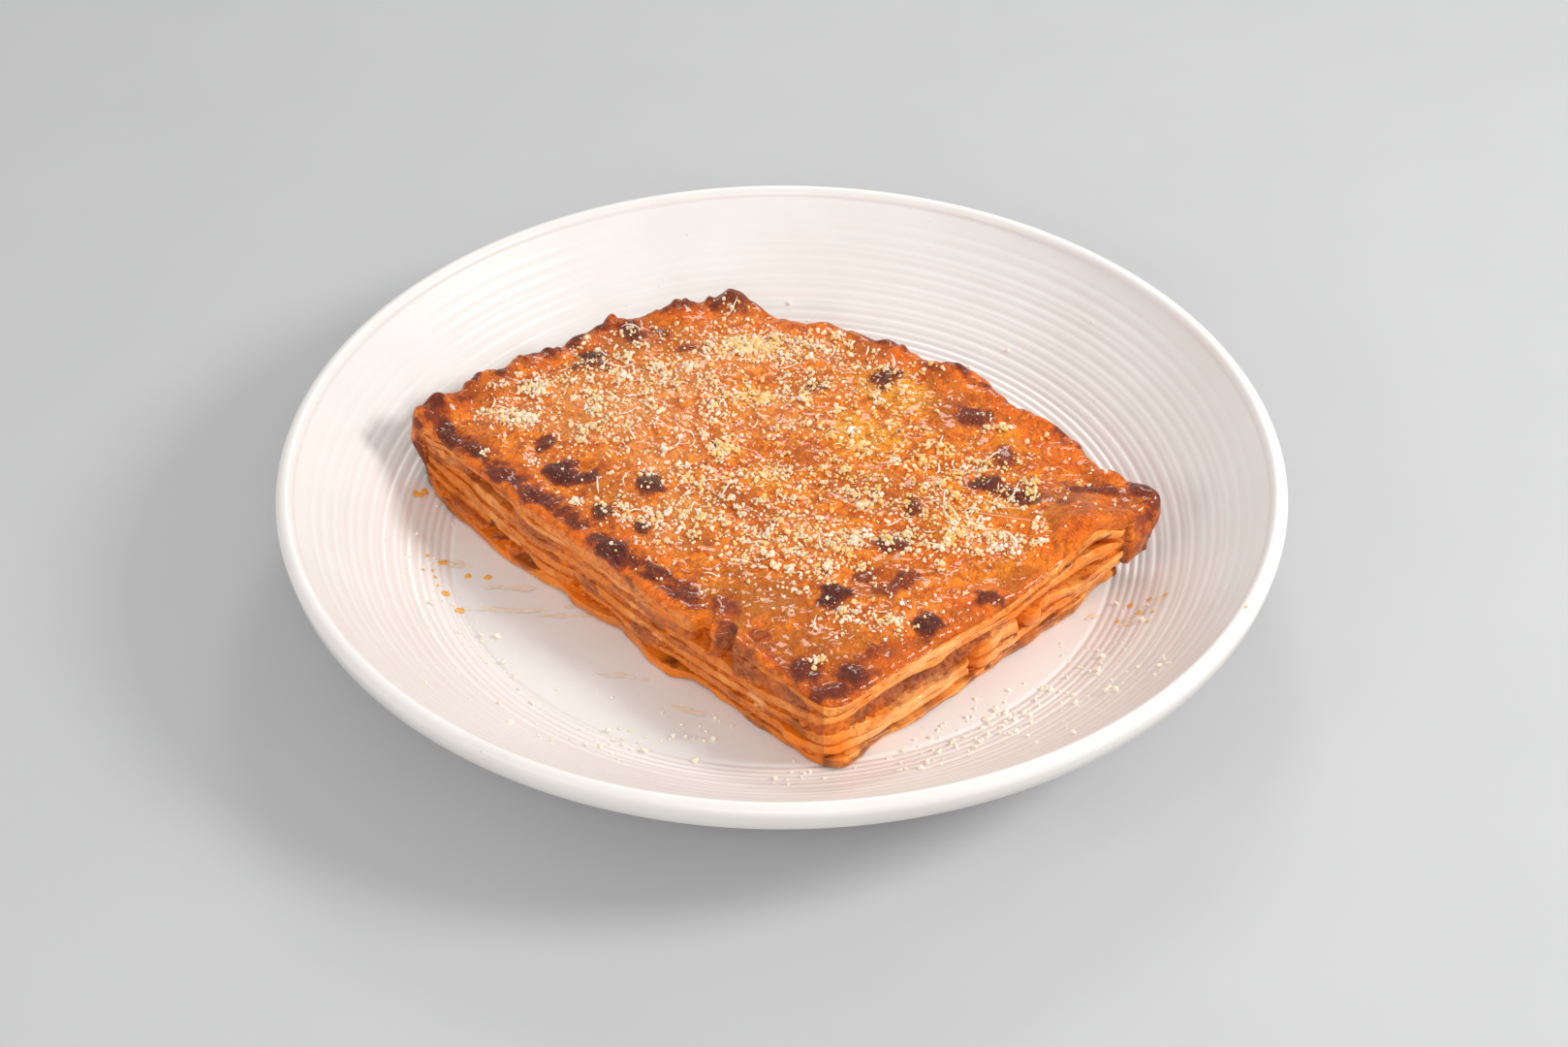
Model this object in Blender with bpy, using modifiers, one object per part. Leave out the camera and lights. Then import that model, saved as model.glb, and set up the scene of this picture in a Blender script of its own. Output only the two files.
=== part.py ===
"""A slice of baked lasagne on its ribbed white plate.

Metres, +Z up. The origin is on the table, under the middle of the plate. The slice comes from
a corner of its baking tin. Its front-left and front-right sides are cut and show the pasta
sheets and the fillings between them. Baked crust covers the top and runs down the two back
sides, where the slice met the tin.
"""
import math
import random

import bmesh
import bpy
import numpy as np
from mathutils import Euler, Vector

MM = 0.001

# Plate
PLATE_RADIUS = 140 * MM
PLATE_HEIGHT = 38 * MM
PLATE_SEGMENTS = 48
WELL_RADIUS = 94 * MM
WELL_HEIGHT = 8 * MM
LIP_WIDTH = 5 * MM
LIP_POINTS = 5
WALL_THICKNESS = 6 * MM
WALL_CURVE = 1.5
WALL_STATIONS = 5
RIB_COUNT = 12
RIB_DEPTH = 0.45 * MM
FOOT_RADIUS = 80 * MM
FOOT_WIDTH = 5 * MM
FOOT_HEIGHT = 2.5 * MM
FOOT_DRAFT = 1 * MM

# Corners of the slice seen from above, anticlockwise from the left, and how far the side that
# follows each corner bows outward
CORNERS = np.array([(-105, 21), (12, -96), (103.5, -14), (-17.5, 86)]) * MM
BOWS = np.array([2, 0.5, 12, 10]) * MM
CORNER_ROUNDING = (0.01, 0.04, 0.01, 0.03)
SIDE_STATIONS = (28, 22, 10, 7)
STATION_CROWDING = 0.4
WOBBLE = 1.3 * MM
WOBBLE_SIZE = 19 * MM
GAP = 0.3 * MM

# Layers from the bottom up, and their thickness
LAYERS = (
    ("pasta_1", 1.7 * MM),
    ("filling_1", 2.4 * MM),
    ("pasta_2", 1.7 * MM),
    ("filling_2", 1.3 * MM),
    ("pasta_3", 1.7 * MM),
    ("filling_3", 3.0 * MM),
    ("pasta_4", 1.7 * MM),
    ("filling_4", 1.3 * MM),
    ("pasta_5", 1.7 * MM),
    ("top_crust", 2.8 * MM),
)
LEAST_THICKNESS = 0.8 * MM
INNER_RING = 0.86
THICK_MIDDLE = 1.08
THIN_EDGE = 0.16
THINNING = 3
SLICE_REACH = 105 * MM
# The right tip stands clear of the plate, and the layers swell before it.
TIP_LIFT = 4.5 * MM
TIP_REACH = 40 * MM
TIP_SWELL = 6.5 * MM
TIP_SWELL_MIDDLE = np.array([85, -28]) * MM
TIP_SWELL_RADIUS = 17 * MM
WAVE = 2.4 * MM
WAVE_SIZE = 26 * MM
LAYER_KINSHIP = 0.35
EDGE_WANDER = 0.9 * MM
EDGE_SIZE = 16 * MM
PASTA_BULGE = (0.1 * MM, 1.4 * MM)
FILLING_BULGE = (-1.3 * MM, 0.7 * MM)
BACK_BULGE = 0.3

# Crust. On the two back sides it hangs from the top, outside the stack of layers. Each fold is
# where that part of it starts or ends, as a station and the rounding there.
RIGHT_CRUST = 13 * MM
LEFT_CRUST = 2.2 * MM
CRUST_FOLDS = ((2.09, 0.03), (3.97, 0.015))
FOLD_STATIONS = (2.004, 2.03, 2.06, 2.09, 2.12, 3.97, 3.996)
CRUST_SPREAD = 0.8 * MM
CRUST_LIP = 0.1 * MM
CRUST_HEM = (0.6 * MM, 2.0 * MM)
CRUST_TAPER = 0.45
CRUST_CLEARANCE = 0.4 * MM
CRUST_RINGS = (0.955, 0.86, 0.7, 0.5, 0.3)
EDGE_ROUNDING = 1.3 * MM
RIM_HEIGHT = 1.2 * MM
RIM_REACH = 11 * MM
TOP_RELIEF = 1.1 * MM
TOP_RELIEF_SIZE = 20 * MM

# Dark blisters on the crust: x, y and radius in millimetres
BLISTERS = (
    (-61, 0, 5.0), (-37, -5, 4.0), (-58, 60, 5.0), (-44, 71, 4.0), (-49, -17, 3.0),
    (-55, -28, 3.4), (-46, -35, 3.4), (-68, 16, 3.0), (-92, 20, 3.4), (-83, 6, 3.2),
    (14, -52, 3.4), (29, -47, 3.4), (39, -62, 3.0), (8, -82, 3.8), (19, -81, 4.0),
    (32, 47, 3.6), (60, -6, 3.4), (76, -11, 3.4), (37, -15, 3.0), (-16, 87, 4.2),
    (99, -10, 4.0),
)
BLISTER_HEIGHT = 0.3

# The largest clumps of grated cheese: middles of the drifts they lie in, in millimetres
DRIFTS = (
    (-78, 30), (-60, 48), (-14, 58), (-31, 51), (-10, 37), (-17, 11), (23, 11), (-46, 9),
    (-29, -4), (-4, -17), (-31, -30), (11, -30), (33, -30), (46, -30), (68, -25), (53, 5),
    (19, -61), (31, -61), (12, 27), (35, 52), (64, 3),
)
CLUMPS_PER_DRIFT = 3
DRIFT_SPREAD = 7 * MM
CLUMP_RADIUS = (0.8 * MM, 1.7 * MM)
CLUMP_SINK = 0.35
SEED = 11

CREAM_WHITE = (0.86, 0.84, 0.81)
PASTA_COLOUR = (0.84, 0.46, 0.16)
RAGU_COLOUR = (0.48, 0.15, 0.05)
CRUST_COLOUR = (0.70, 0.23, 0.05)


def remove_all_objects():
    for obj in list(bpy.data.objects):
        bpy.data.objects.remove(obj)


def material(name, colour, roughness):
    made = bpy.data.materials.new(name)
    made.use_nodes = True
    shader = made.node_tree.nodes["Principled BSDF"]
    shader.inputs["Base Color"].default_value = (*colour, 1)
    shader.inputs["Roughness"].default_value = roughness
    shader.inputs["Metallic"].default_value = 0
    made.diffuse_color = (*colour, 1)
    return made


def add_object(name, mesh, collection, finish):
    obj = bpy.data.objects.new(name, mesh)
    obj.data.materials.append(finish)
    collection.objects.link(obj)
    return obj


# Repeatable noise

def lattice(x, y, z, seed):
    """One repeatable value from -1 to 1 for each whole-number point."""
    h = (x * 73856093) ^ (y * 19349663) ^ (z * 83492791) ^ (seed * 265443576)
    h = ((h ^ (h >> 13)) * 1274126177) & 0x7FFFFFFF
    h = ((h ^ (h >> 16)) * 69069) & 0x7FFFFFFF
    return h / 0x3FFFFFFF - 1


def smooth(share):
    return share * share * (3 - 2 * share)


def noise(x, y, z=0.0, seed=0):
    """Smooth noise from -1 to 1, with features one unit across. It takes arrays."""
    place = np.broadcast_arrays(*(np.asarray(value, float) for value in (x, y, z)))
    corner = [np.floor(value).astype(np.int64) for value in place]
    share = [smooth(value - low) for value, low in zip(place, corner)]
    total = np.zeros(place[0].shape)
    for dx in (0, 1):
        for dy in (0, 1):
            for dz in (0, 1):
                weight = (
                    (share[0] if dx else 1 - share[0])
                    * (share[1] if dy else 1 - share[1])
                    * (share[2] if dz else 1 - share[2])
                )
                total += weight * lattice(corner[0] + dx, corner[1] + dy, corner[2] + dz, seed)
    return total


# Plate

def wall_height(radius):
    """Height of the plate's upper surface over the table, at the crests of its ribs."""
    run = PLATE_RADIUS - LIP_WIDTH - WELL_RADIUS
    rise = PLATE_HEIGHT - LIP_WIDTH / 2 - WELL_HEIGHT
    share = np.clip((np.asarray(radius, float) - WELL_RADIUS) / run, 0, None)
    return WELL_HEIGHT + rise * share**WALL_CURVE


def rib_points():
    """Groove and crest by turns, out over the wall."""
    pitch = (PLATE_RADIUS - LIP_WIDTH - WELL_RADIUS) / RIB_COUNT
    points = []
    for rib in range(RIB_COUNT):
        groove = WELL_RADIUS + (rib + 0.5) * pitch
        crest = WELL_RADIUS + (rib + 1) * pitch
        points.append((groove, float(wall_height(groove)) - RIB_DEPTH))
        points.append((crest, float(wall_height(crest))))
    return points


def lip_points():
    lip = LIP_WIDTH / 2
    points = []
    for step in range(1, LIP_POINTS + 1):
        angle = math.pi * (1 - step / LIP_POINTS)
        radius = PLATE_RADIUS - lip + lip * math.cos(angle)
        points.append((radius, PLATE_HEIGHT - lip + lip * math.sin(angle)))
    return points


def underside_points():
    """Down under the wall, a wall's thickness below its upper surface."""
    points = []
    step = (PLATE_RADIUS - LIP_WIDTH - WELL_RADIUS) / WALL_STATIONS
    for number in range(WALL_STATIONS):
        radius = PLATE_RADIUS - LIP_WIDTH - number * step
        lean = math.atan2(float(wall_height(radius) - wall_height(radius - step / 2)), step / 2)
        height = float(wall_height(radius)) - WALL_THICKNESS * math.cos(lean)
        points.append((radius + WALL_THICKNESS * math.sin(lean), height))
    return points


def plate_profile():
    """(radius, height) from the middle of the well, over the lip and back under the foot."""
    foot = [
        (FOOT_RADIUS + FOOT_DRAFT, FOOT_HEIGHT / 2),
        (FOOT_RADIUS, 0),
        (FOOT_RADIUS - FOOT_WIDTH, 0),
        (FOOT_RADIUS - FOOT_WIDTH - FOOT_DRAFT, FOOT_HEIGHT),
        (0, FOOT_HEIGHT),
    ]
    well = [(0, WELL_HEIGHT), (WELL_RADIUS, WELL_HEIGHT)]
    return well + rib_points() + lip_points() + underside_points() + foot


def make_plate(collection, finish):
    points = [(radius, 0, height) for radius, height in plate_profile()]
    edges = [(i, i + 1) for i in range(len(points) - 1)]
    mesh = bpy.data.meshes.new("plate")
    mesh.from_pydata(points, edges, [])
    plate = add_object("plate", mesh, collection, finish)
    screw = plate.modifiers.new("Turn", "SCREW")
    screw.steps = screw.render_steps = PLATE_SEGMENTS
    screw.use_merge_vertices = True
    screw.merge_threshold = 0.00005
    screw.use_smooth_shade = True
    return plate


# Outlines seen from above. A station t runs from 0 to 4, anticlockwise from the left corner,
# with one corner of the stack of layers at each whole number.

def inset_corners():
    """Corners of the stack, which stands inside the crust on the two back sides."""
    insets = (0, 0, RIGHT_CRUST, LEFT_CRUST)
    lines = []
    for side, inset in enumerate(insets):
        along = CORNERS[(side + 1) % 4] - CORNERS[side]
        inward = np.array([-along[1], along[0]]) / np.linalg.norm(along)
        lines.append((CORNERS[side] + inward * inset, along))
    found = []
    for side in range(4):
        (start_a, along_a), (start_b, along_b) = lines[side - 1], lines[side]
        share = np.linalg.solve(np.column_stack([along_a, -along_b]), start_b - start_a)[0]
        found.append(start_a + along_a * share)
    return np.array(found)


def stack_shape():
    """Stations, places, bows and roundings of the stack's corners."""
    return np.arange(4.0), inset_corners(), BOWS, CORNER_ROUNDING


def crust_shape():
    """The same for the crust, which has two corners more, where it leaves the stack."""
    stack = inset_corners()
    (right, right_rounding), (left, left_rounding) = CRUST_FOLDS
    knots = np.array([0, 1, 2, right, 3, left])
    corners = np.array([stack[0], CORNERS[1], stack[2], CORNERS[2], CORNERS[3], CORNERS[0]])
    bows = np.array([BOWS[0], BOWS[1], 0, BOWS[2], BOWS[3], 0])
    rounding = (
        left_rounding, CORNER_ROUNDING[1], right_rounding, right_rounding, CORNER_ROUNDING[3],
        left_rounding,
    )
    return knots, corners, bows, rounding


def sharp_outline(t, shape):
    """Places on the bowed sides, with sharp corners."""
    knots, corners, bows, _ = shape
    t = np.mod(t, 4)
    side = np.searchsorted(knots, t, side="right") - 1
    ends = np.append(knots[1:], 4)
    share = ((t - knots[side]) / (ends[side] - knots[side]))[..., None]
    start = corners[side]
    along = corners[(side + 1) % len(corners)] - start
    outward = np.stack([along[..., 1], -along[..., 0]], -1)
    outward /= np.linalg.norm(outward, axis=-1, keepdims=True)
    return start + along * share + outward * bows[side][..., None] * np.sin(math.pi * share)


def outline(t, shape):
    """The bowed sides with their corners rounded, as a running average, and a wobble."""
    knots, _, _, roundings = shape
    apart = np.abs(np.mod(t, 4)[:, None] - np.append(knots, 4))
    rounding = np.append(roundings, roundings[0])[apart.argmin(axis=1)]
    shifts = np.linspace(-1, 1, 7)
    plan = sum(sharp_outline(t + shift * rounding, shape) for shift in shifts) / len(shifts)
    wobble = [noise(*(plan / WOBBLE_SIZE).T, seed=seed) for seed in (7, 8)]
    return plan + WOBBLE * np.column_stack(wobble)


def outward_of(plan):
    """Unit vectors that point out of a closed ring of places."""
    along = np.roll(plan, -1, axis=0) - np.roll(plan, 1, axis=0)
    normal = np.stack([along[:, 1], -along[:, 0]], -1)
    return normal / np.linalg.norm(normal, axis=1, keepdims=True)


def stations():
    """Stations round the slice, closer together near its corners and at the crust's folds."""
    found = list(FOLD_STATIONS)
    for side, count in enumerate(SIDE_STATIONS):
        even = np.arange(count) / count
        crowded = (1 - np.cos(math.pi * even)) / 2
        found += list(side + even + STATION_CROWDING * (crowded - even))
    return np.sort(found)


def is_back(t):
    """Whether a station is on a back side, where crust hangs outside the stack."""
    return (t > 2.001) & (t < 3.999)


def is_cut(t):
    """Whether a station is on a cut side, clear of the hanging crust."""
    return (t > 0.001) & (t < 1.999)


# Heights

def tip_lift(x, y):
    """How far the underside stands clear of the plate, at the right tip."""
    distance = np.hypot(x - CORNERS[2][0], y - CORNERS[2][1])
    return TIP_LIFT * smooth(np.clip(1 - distance / TIP_REACH, 0, 1))


def base_height(x, y):
    """The slice rests on the plate and bends up with its wall."""
    return wall_height(np.hypot(x, y)) + GAP + tip_lift(x, y)


def swell(x, y):
    """Thickness of the layers at a place, as a share of the nominal thickness."""
    whole = sum(thickness for _, thickness in LAYERS)
    distance = np.hypot(x - TIP_SWELL_MIDDLE[0], y - TIP_SWELL_MIDDLE[1])
    rise = TIP_SWELL * np.exp(-2 * (distance / TIP_SWELL_RADIUS) ** 2)
    share = THICK_MIDDLE - THIN_EDGE * (np.hypot(x, y) / SLICE_REACH) ** THINNING
    return share + (rise - tip_lift(x, y)) / whole


def interface(level, x, y):
    """Underside of layer number level; the number of layers gives the top of the last one."""
    height = base_height(x, y)
    wave_before = 0
    for number, (_, thickness) in enumerate(LAYERS[:level], start=1):
        depth = math.sin(math.pi * number / len(LAYERS))
        wave = depth * noise(x / WAVE_SIZE, y / WAVE_SIZE, number * LAYER_KINSHIP, seed=1)
        grown = thickness * swell(x, y) + WAVE * (wave - wave_before)
        height = height + np.maximum(grown, LEAST_THICKNESS) + GAP
        wave_before = wave
    return height


def rim_share(x, y):
    """1 on the back edges of the crust, where it stands up, and 0 away from them."""
    place = np.stack([x, y], -1)
    share = 0
    for side in (2, 3):
        along = CORNERS[(side + 1) % 4] - CORNERS[side]
        length = np.linalg.norm(along)
        inward = np.array([-along[1], along[0]]) / length
        offset = place - CORNERS[side]
        bow = BOWS[side] * np.sin(math.pi * np.clip(offset @ along / length**2, 0, 1))
        share = np.maximum(share, 1 - np.clip((offset @ inward + bow) / RIM_REACH, 0, 1))
    return smooth(share)


def top_height(x, y):
    relief = TOP_RELIEF * noise(x / TOP_RELIEF_SIZE, y / TOP_RELIEF_SIZE, seed=2)
    return interface(len(LAYERS), x, y) - GAP + relief + RIM_HEIGHT * rim_share(x, y)


# Solids of the slice

def points_of(plan, height):
    return np.column_stack([plan, height])


def centre():
    return CORNERS.mean(axis=0)


def shrunk(plan, share):
    return centre() + (plan - centre()) * share


def add_disc(bm, loop, level, lift):
    """Closes a ring along an interface of layers, over a ring of half as many points."""
    plan = shrunk(outline(stations()[::2], stack_shape()), INNER_RING)
    inner = [bm.verts.new(point) for point in points_of(plan, interface(level, *plan.T) + lift)]
    peak = bm.verts.new((*centre(), float(interface(level, *centre())) + lift))
    for i, vert in enumerate(inner):
        after = inner[(i + 1) % len(inner)]
        first, second, third = (loop[(2 * i + step) % len(loop)] for step in range(3))
        bm.faces.new((first, second, vert))
        bm.faces.new((second, after, vert))
        bm.faces.new((second, third, after))
        bm.faces.new((vert, after, peak))


def add_strips(bm, loops):
    """Bands of triangles from each ring to the next."""
    for lower, upper in zip(loops, loops[1:]):
        for i in range(len(lower)):
            j = (i + 1) % len(lower)
            bm.faces.new((lower[i], lower[j], upper[j]))
            bm.faces.new((lower[i], upper[j], upper[i]))


def add_rings(bm, rings):
    return [[bm.verts.new(point) for point in ring] for ring in rings]


def finished_mesh(name, bm):
    bmesh.ops.recalc_face_normals(bm, faces=bm.faces)
    if bm.calc_volume(signed=True) < 0:
        bmesh.ops.reverse_faces(bm, faces=bm.faces)
    mesh = bpy.data.meshes.new(name)
    bm.to_mesh(mesh)
    bm.free()
    return mesh


def interface_plan(level):
    """Where the meeting of two layers shows on the sides of the stack."""
    t = stations()
    plan = outline(t, stack_shape())
    wander = EDGE_WANDER * noise(*(plan / EDGE_SIZE).T, level * LAYER_KINSHIP, seed=3)
    wander = np.where(is_cut(t), wander, np.minimum(wander, 0))
    return plan + outward_of(plan) * wander[:, None]


def make_layer(level, collection, finish):
    """A pasta sheet or a filling: a slab whose cut edge bulges or draws in."""
    name = LAYERS[level][0]
    lower, upper = interface_plan(level), interface_plan(level + 1)
    low, high = interface(level, *lower.T), interface(level + 1, *upper.T) - GAP
    least, most = PASTA_BULGE if name.startswith("pasta") else FILLING_BULGE
    along = noise(*(lower / EDGE_SIZE).T, seed=20 + level)
    bulge = least + (most - least) * (along + 1) / 2
    bulge = np.where(is_cut(stations()), bulge, np.minimum(bulge, 0) * BACK_BULGE)
    edge = (lower + upper) / 2
    edge = edge + outward_of(edge) * bulge[:, None]
    bm = bmesh.new()
    rings = [points_of(lower, low), points_of(edge, (low + high) / 2), points_of(upper, high)]
    loops = add_rings(bm, rings)
    add_strips(bm, loops)
    add_disc(bm, loops[0], level, 0)
    add_disc(bm, loops[-1], level + 1, -GAP)
    return add_object(name, finished_mesh(name, bm), collection, finish)


def hem_height(plan):
    """Lower edge of the crust on the back sides, a little over the plate."""
    least, most = CRUST_HEM
    share = (noise(*(plan / EDGE_SIZE).T, seed=5) + 1) / 2
    return base_height(*plan.T) + least + (most - least) * share


def make_crust(collection, finish):
    """The baked top, whose edge laps over the cut sides and hangs down the back ones."""
    t = stations()
    level = len(LAYERS) - 1
    back = is_back(t)
    inside = outline(t, stack_shape())
    inside = inside + outward_of(inside) * CRUST_CLEARANCE
    inside = np.where(back[:, None], inside, interface_plan(level))
    roof = interface(level, *inside.T) + np.where(back, GAP, 0)
    plan = outline(t, crust_shape())
    normal = outward_of(plan)
    plan = plan + normal * CRUST_SPREAD
    top = top_height(*plan.T)
    inner_hem = np.where(back, hem_height(inside), roof - CRUST_LIP)
    hem = plan + (inside - plan) * np.where(back, CRUST_TAPER, 0)[:, None]
    outer_hem = np.where(back, hem_height(hem), interface(level, *plan.T) - CRUST_LIP)
    middle = (hem + plan) / 2 + normal * EDGE_ROUNDING / 4
    rings = [
        points_of(inside, roof),
        points_of(inside, inner_hem),
        points_of(hem, outer_hem),
        points_of(middle, (outer_hem + top) / 2),
        points_of(plan - normal * EDGE_ROUNDING / 2, top - EDGE_ROUNDING / 2),
    ]
    for share in CRUST_RINGS:
        ring = shrunk(plan, share)
        rings.append(points_of(ring, top_height(*ring.T)))
    bm = bmesh.new()
    loops = add_rings(bm, rings)
    add_strips(bm, loops)
    add_disc(bm, loops[0], level, 0)
    peak = bm.verts.new((*centre(), float(top_height(*centre()))))
    for i, vert in enumerate(loops[-1]):
        bm.faces.new((vert, loops[-1][(i + 1) % len(loops[-1])], peak))
    return add_object("top_crust", finished_mesh("top_crust", bm), collection, finish)


def add_lump(name, crust, place, radii, turn, sink, collection):
    """A faceted lump set into the crust at a place in the plan."""
    hit, where, _, _ = crust.ray_cast(Vector((*place, PLATE_HEIGHT * 3)), Vector((0, 0, -1)))
    if not hit:
        return
    bm = bmesh.new()
    bmesh.ops.create_icosphere(bm, subdivisions=1, radius=1)
    lump = bpy.data.objects.new(name, finished_mesh(name, bm))
    collection.objects.link(lump)
    lump.scale = radii
    lump.rotation_euler = turn
    lump.location = where + Vector((0, 0, radii[2] * (1 - 2 * sink)))


def add_toppings(crust):
    """Fuses the dark blisters and the largest clumps of grated cheese to the crust."""
    rng = random.Random(SEED)
    lumps = bpy.data.collections.new("toppings")
    bpy.context.scene.collection.children.link(lumps)
    bpy.context.view_layer.update()
    for number, (x, y, radius) in enumerate(BLISTERS):
        radii = (radius * MM, radius * MM * 0.8, radius * MM * BLISTER_HEIGHT)
        turn = Euler((0, 0, rng.uniform(0, math.pi)))
        add_lump(f"blister_{number}", crust, (x * MM, y * MM), radii, turn, 0.5, lumps)
    for drift, (x, y) in enumerate(DRIFTS):
        for number in range(CLUMPS_PER_DRIFT):
            radius = rng.uniform(*CLUMP_RADIUS)
            radii = [radius * rng.uniform(0.7, 1.2) for _ in range(3)]
            place = (x * MM + rng.gauss(0, DRIFT_SPREAD), y * MM + rng.gauss(0, DRIFT_SPREAD))
            turn = Euler([rng.uniform(0, math.pi) for _ in range(3)])
            add_lump(f"clump_{drift}_{number}", crust, place, radii, turn, CLUMP_SINK, lumps)
    union = crust.modifiers.new("Toppings", "BOOLEAN")
    union.operation = "UNION"
    union.operand_type = "COLLECTION"
    union.collection = lumps
    bpy.context.view_layer.objects.active = crust
    bpy.ops.object.modifier_apply(modifier=union.name)
    for lump in list(lumps.objects):
        bpy.data.objects.remove(lump)
    bpy.data.collections.remove(lumps)


def main():
    remove_all_objects()
    collection = bpy.data.collections.new("lasagne_slice")
    bpy.context.scene.collection.children.link(collection)
    glaze = material("plate_glaze", CREAM_WHITE, 0.35)
    pasta = material("pasta", PASTA_COLOUR, 0.4)
    ragu = material("ragu", RAGU_COLOUR, 0.45)
    baked = material("baked_crust", CRUST_COLOUR, 0.5)
    make_plate(collection, glaze)
    for level, (name, _) in enumerate(LAYERS[:-1]):
        make_layer(level, collection, pasta if name.startswith("pasta") else ragu)
    add_toppings(make_crust(collection, baked))


main()
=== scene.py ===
"""Dresses the lasagne slice and its plate in fine meshes and procedural materials.

Metres, +Z up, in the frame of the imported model. The slice's two cut sides face the viewer. A
station t runs from 0 to 4 round the slice, anticlockwise from its left corner, with a corner of
the stack of layers at each whole number: sides 0 and 1 are cut, sides 2 and 3 are baked.
"""
import itertools
import math

import bpy
import numpy as np
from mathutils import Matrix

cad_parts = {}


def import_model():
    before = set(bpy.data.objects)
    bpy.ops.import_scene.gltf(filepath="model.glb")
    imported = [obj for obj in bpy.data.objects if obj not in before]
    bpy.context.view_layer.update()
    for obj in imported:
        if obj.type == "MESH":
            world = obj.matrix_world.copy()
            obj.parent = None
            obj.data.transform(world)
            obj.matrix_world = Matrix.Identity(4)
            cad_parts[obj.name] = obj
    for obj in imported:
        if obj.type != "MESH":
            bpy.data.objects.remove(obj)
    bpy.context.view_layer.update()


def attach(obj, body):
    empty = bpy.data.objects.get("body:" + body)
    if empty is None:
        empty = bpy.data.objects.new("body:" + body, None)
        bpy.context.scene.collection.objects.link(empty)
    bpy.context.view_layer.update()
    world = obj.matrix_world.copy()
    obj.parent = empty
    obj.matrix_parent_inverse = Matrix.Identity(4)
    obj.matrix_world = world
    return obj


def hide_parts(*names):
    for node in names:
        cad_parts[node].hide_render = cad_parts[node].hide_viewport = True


MM = 0.001

# Plate, as in the CAD
PLATE_RADIUS = 140 * MM
PLATE_HEIGHT = 38 * MM
WELL_RADIUS = 94 * MM
WELL_HEIGHT = 8 * MM
LIP_WIDTH = 5 * MM
WALL_THICKNESS = 6 * MM
WALL_CURVE = 1.5
FOOT_RADIUS = 80 * MM
FOOT_WIDTH = 5 * MM
FOOT_HEIGHT = 2.5 * MM
FOOT_DRAFT = 1 * MM
FOOT_EDGE = 0.3 * MM
PLATE_SEGMENTS = 224
WELL_RINGS = (1, 20, 45, 70, 84, 90, 92)
WALL_START = 93 * MM
WALL_STEP = 0.28 * MM
LIP_STEPS = 13
UNDERSIDE_STEPS = 22
RIDGE_WANDER = 0.25 * MM
# Throwing ridges: radius, half width and depth of each groove, in millimetres
GROOVES = (
    (94.6, 0.8, 0.34), (96.9, 0.7, 0.24), (99.0, 0.7, 0.26), (101.3, 0.8, 0.30),
    (103.4, 0.7, 0.22), (106.2, 0.9, 0.34), (108.3, 0.5, 0.14), (110.1, 0.8, 0.28),
    (112.9, 0.8, 0.30), (114.6, 0.5, 0.12), (116.4, 0.9, 0.32), (119.2, 0.7, 0.22),
    (121.6, 0.9, 0.34), (123.4, 0.5, 0.14), (125.3, 0.8, 0.26), (128.2, 0.9, 0.28),
    (131.0, 0.7, 0.18),
)

# Outline of the slice, as in the CAD
CORNERS = np.array([(-105, 21), (12, -96), (103.5, -14), (-17.5, 86)]) * MM
BOWS = np.array([2, 0.5, 12, 10]) * MM
CORNER_ROUNDING = (0.01, 0.04, 0.01, 0.03)
WOBBLE = 1.3 * MM
WOBBLE_SIZE = 19 * MM
RIGHT_CRUST = 13 * MM
LEFT_CRUST = 2.2 * MM
CRUST_FOLDS = ((2.09, 0.03), (3.97, 0.015))
GAP = 0.3 * MM

# Heights, as in the CAD
LAYERS = (
    ("pasta_1", 1.7 * MM),
    ("filling_1", 2.4 * MM),
    ("pasta_2", 1.7 * MM),
    ("filling_2", 1.3 * MM),
    ("pasta_3", 1.7 * MM),
    ("filling_3", 3.0 * MM),
    ("pasta_4", 1.7 * MM),
    ("filling_4", 1.3 * MM),
    ("pasta_5", 1.7 * MM),
    ("top_crust", 2.8 * MM),
)
LEAST_THICKNESS = 0.7 * MM
LEAST_CRUST = 1.3 * MM
THICK_MIDDLE = 1.08
THIN_EDGE = 0.16
THINNING = 3
SLICE_REACH = 105 * MM
RIM_HEIGHT = 1.2 * MM
RIM_REACH = 11 * MM
TOP_RELIEF = 1.1 * MM
TOP_RELIEF_SIZE = 20 * MM
TIP_LIFT = 4.5 * MM
TIP_REACH = 40 * MM

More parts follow.
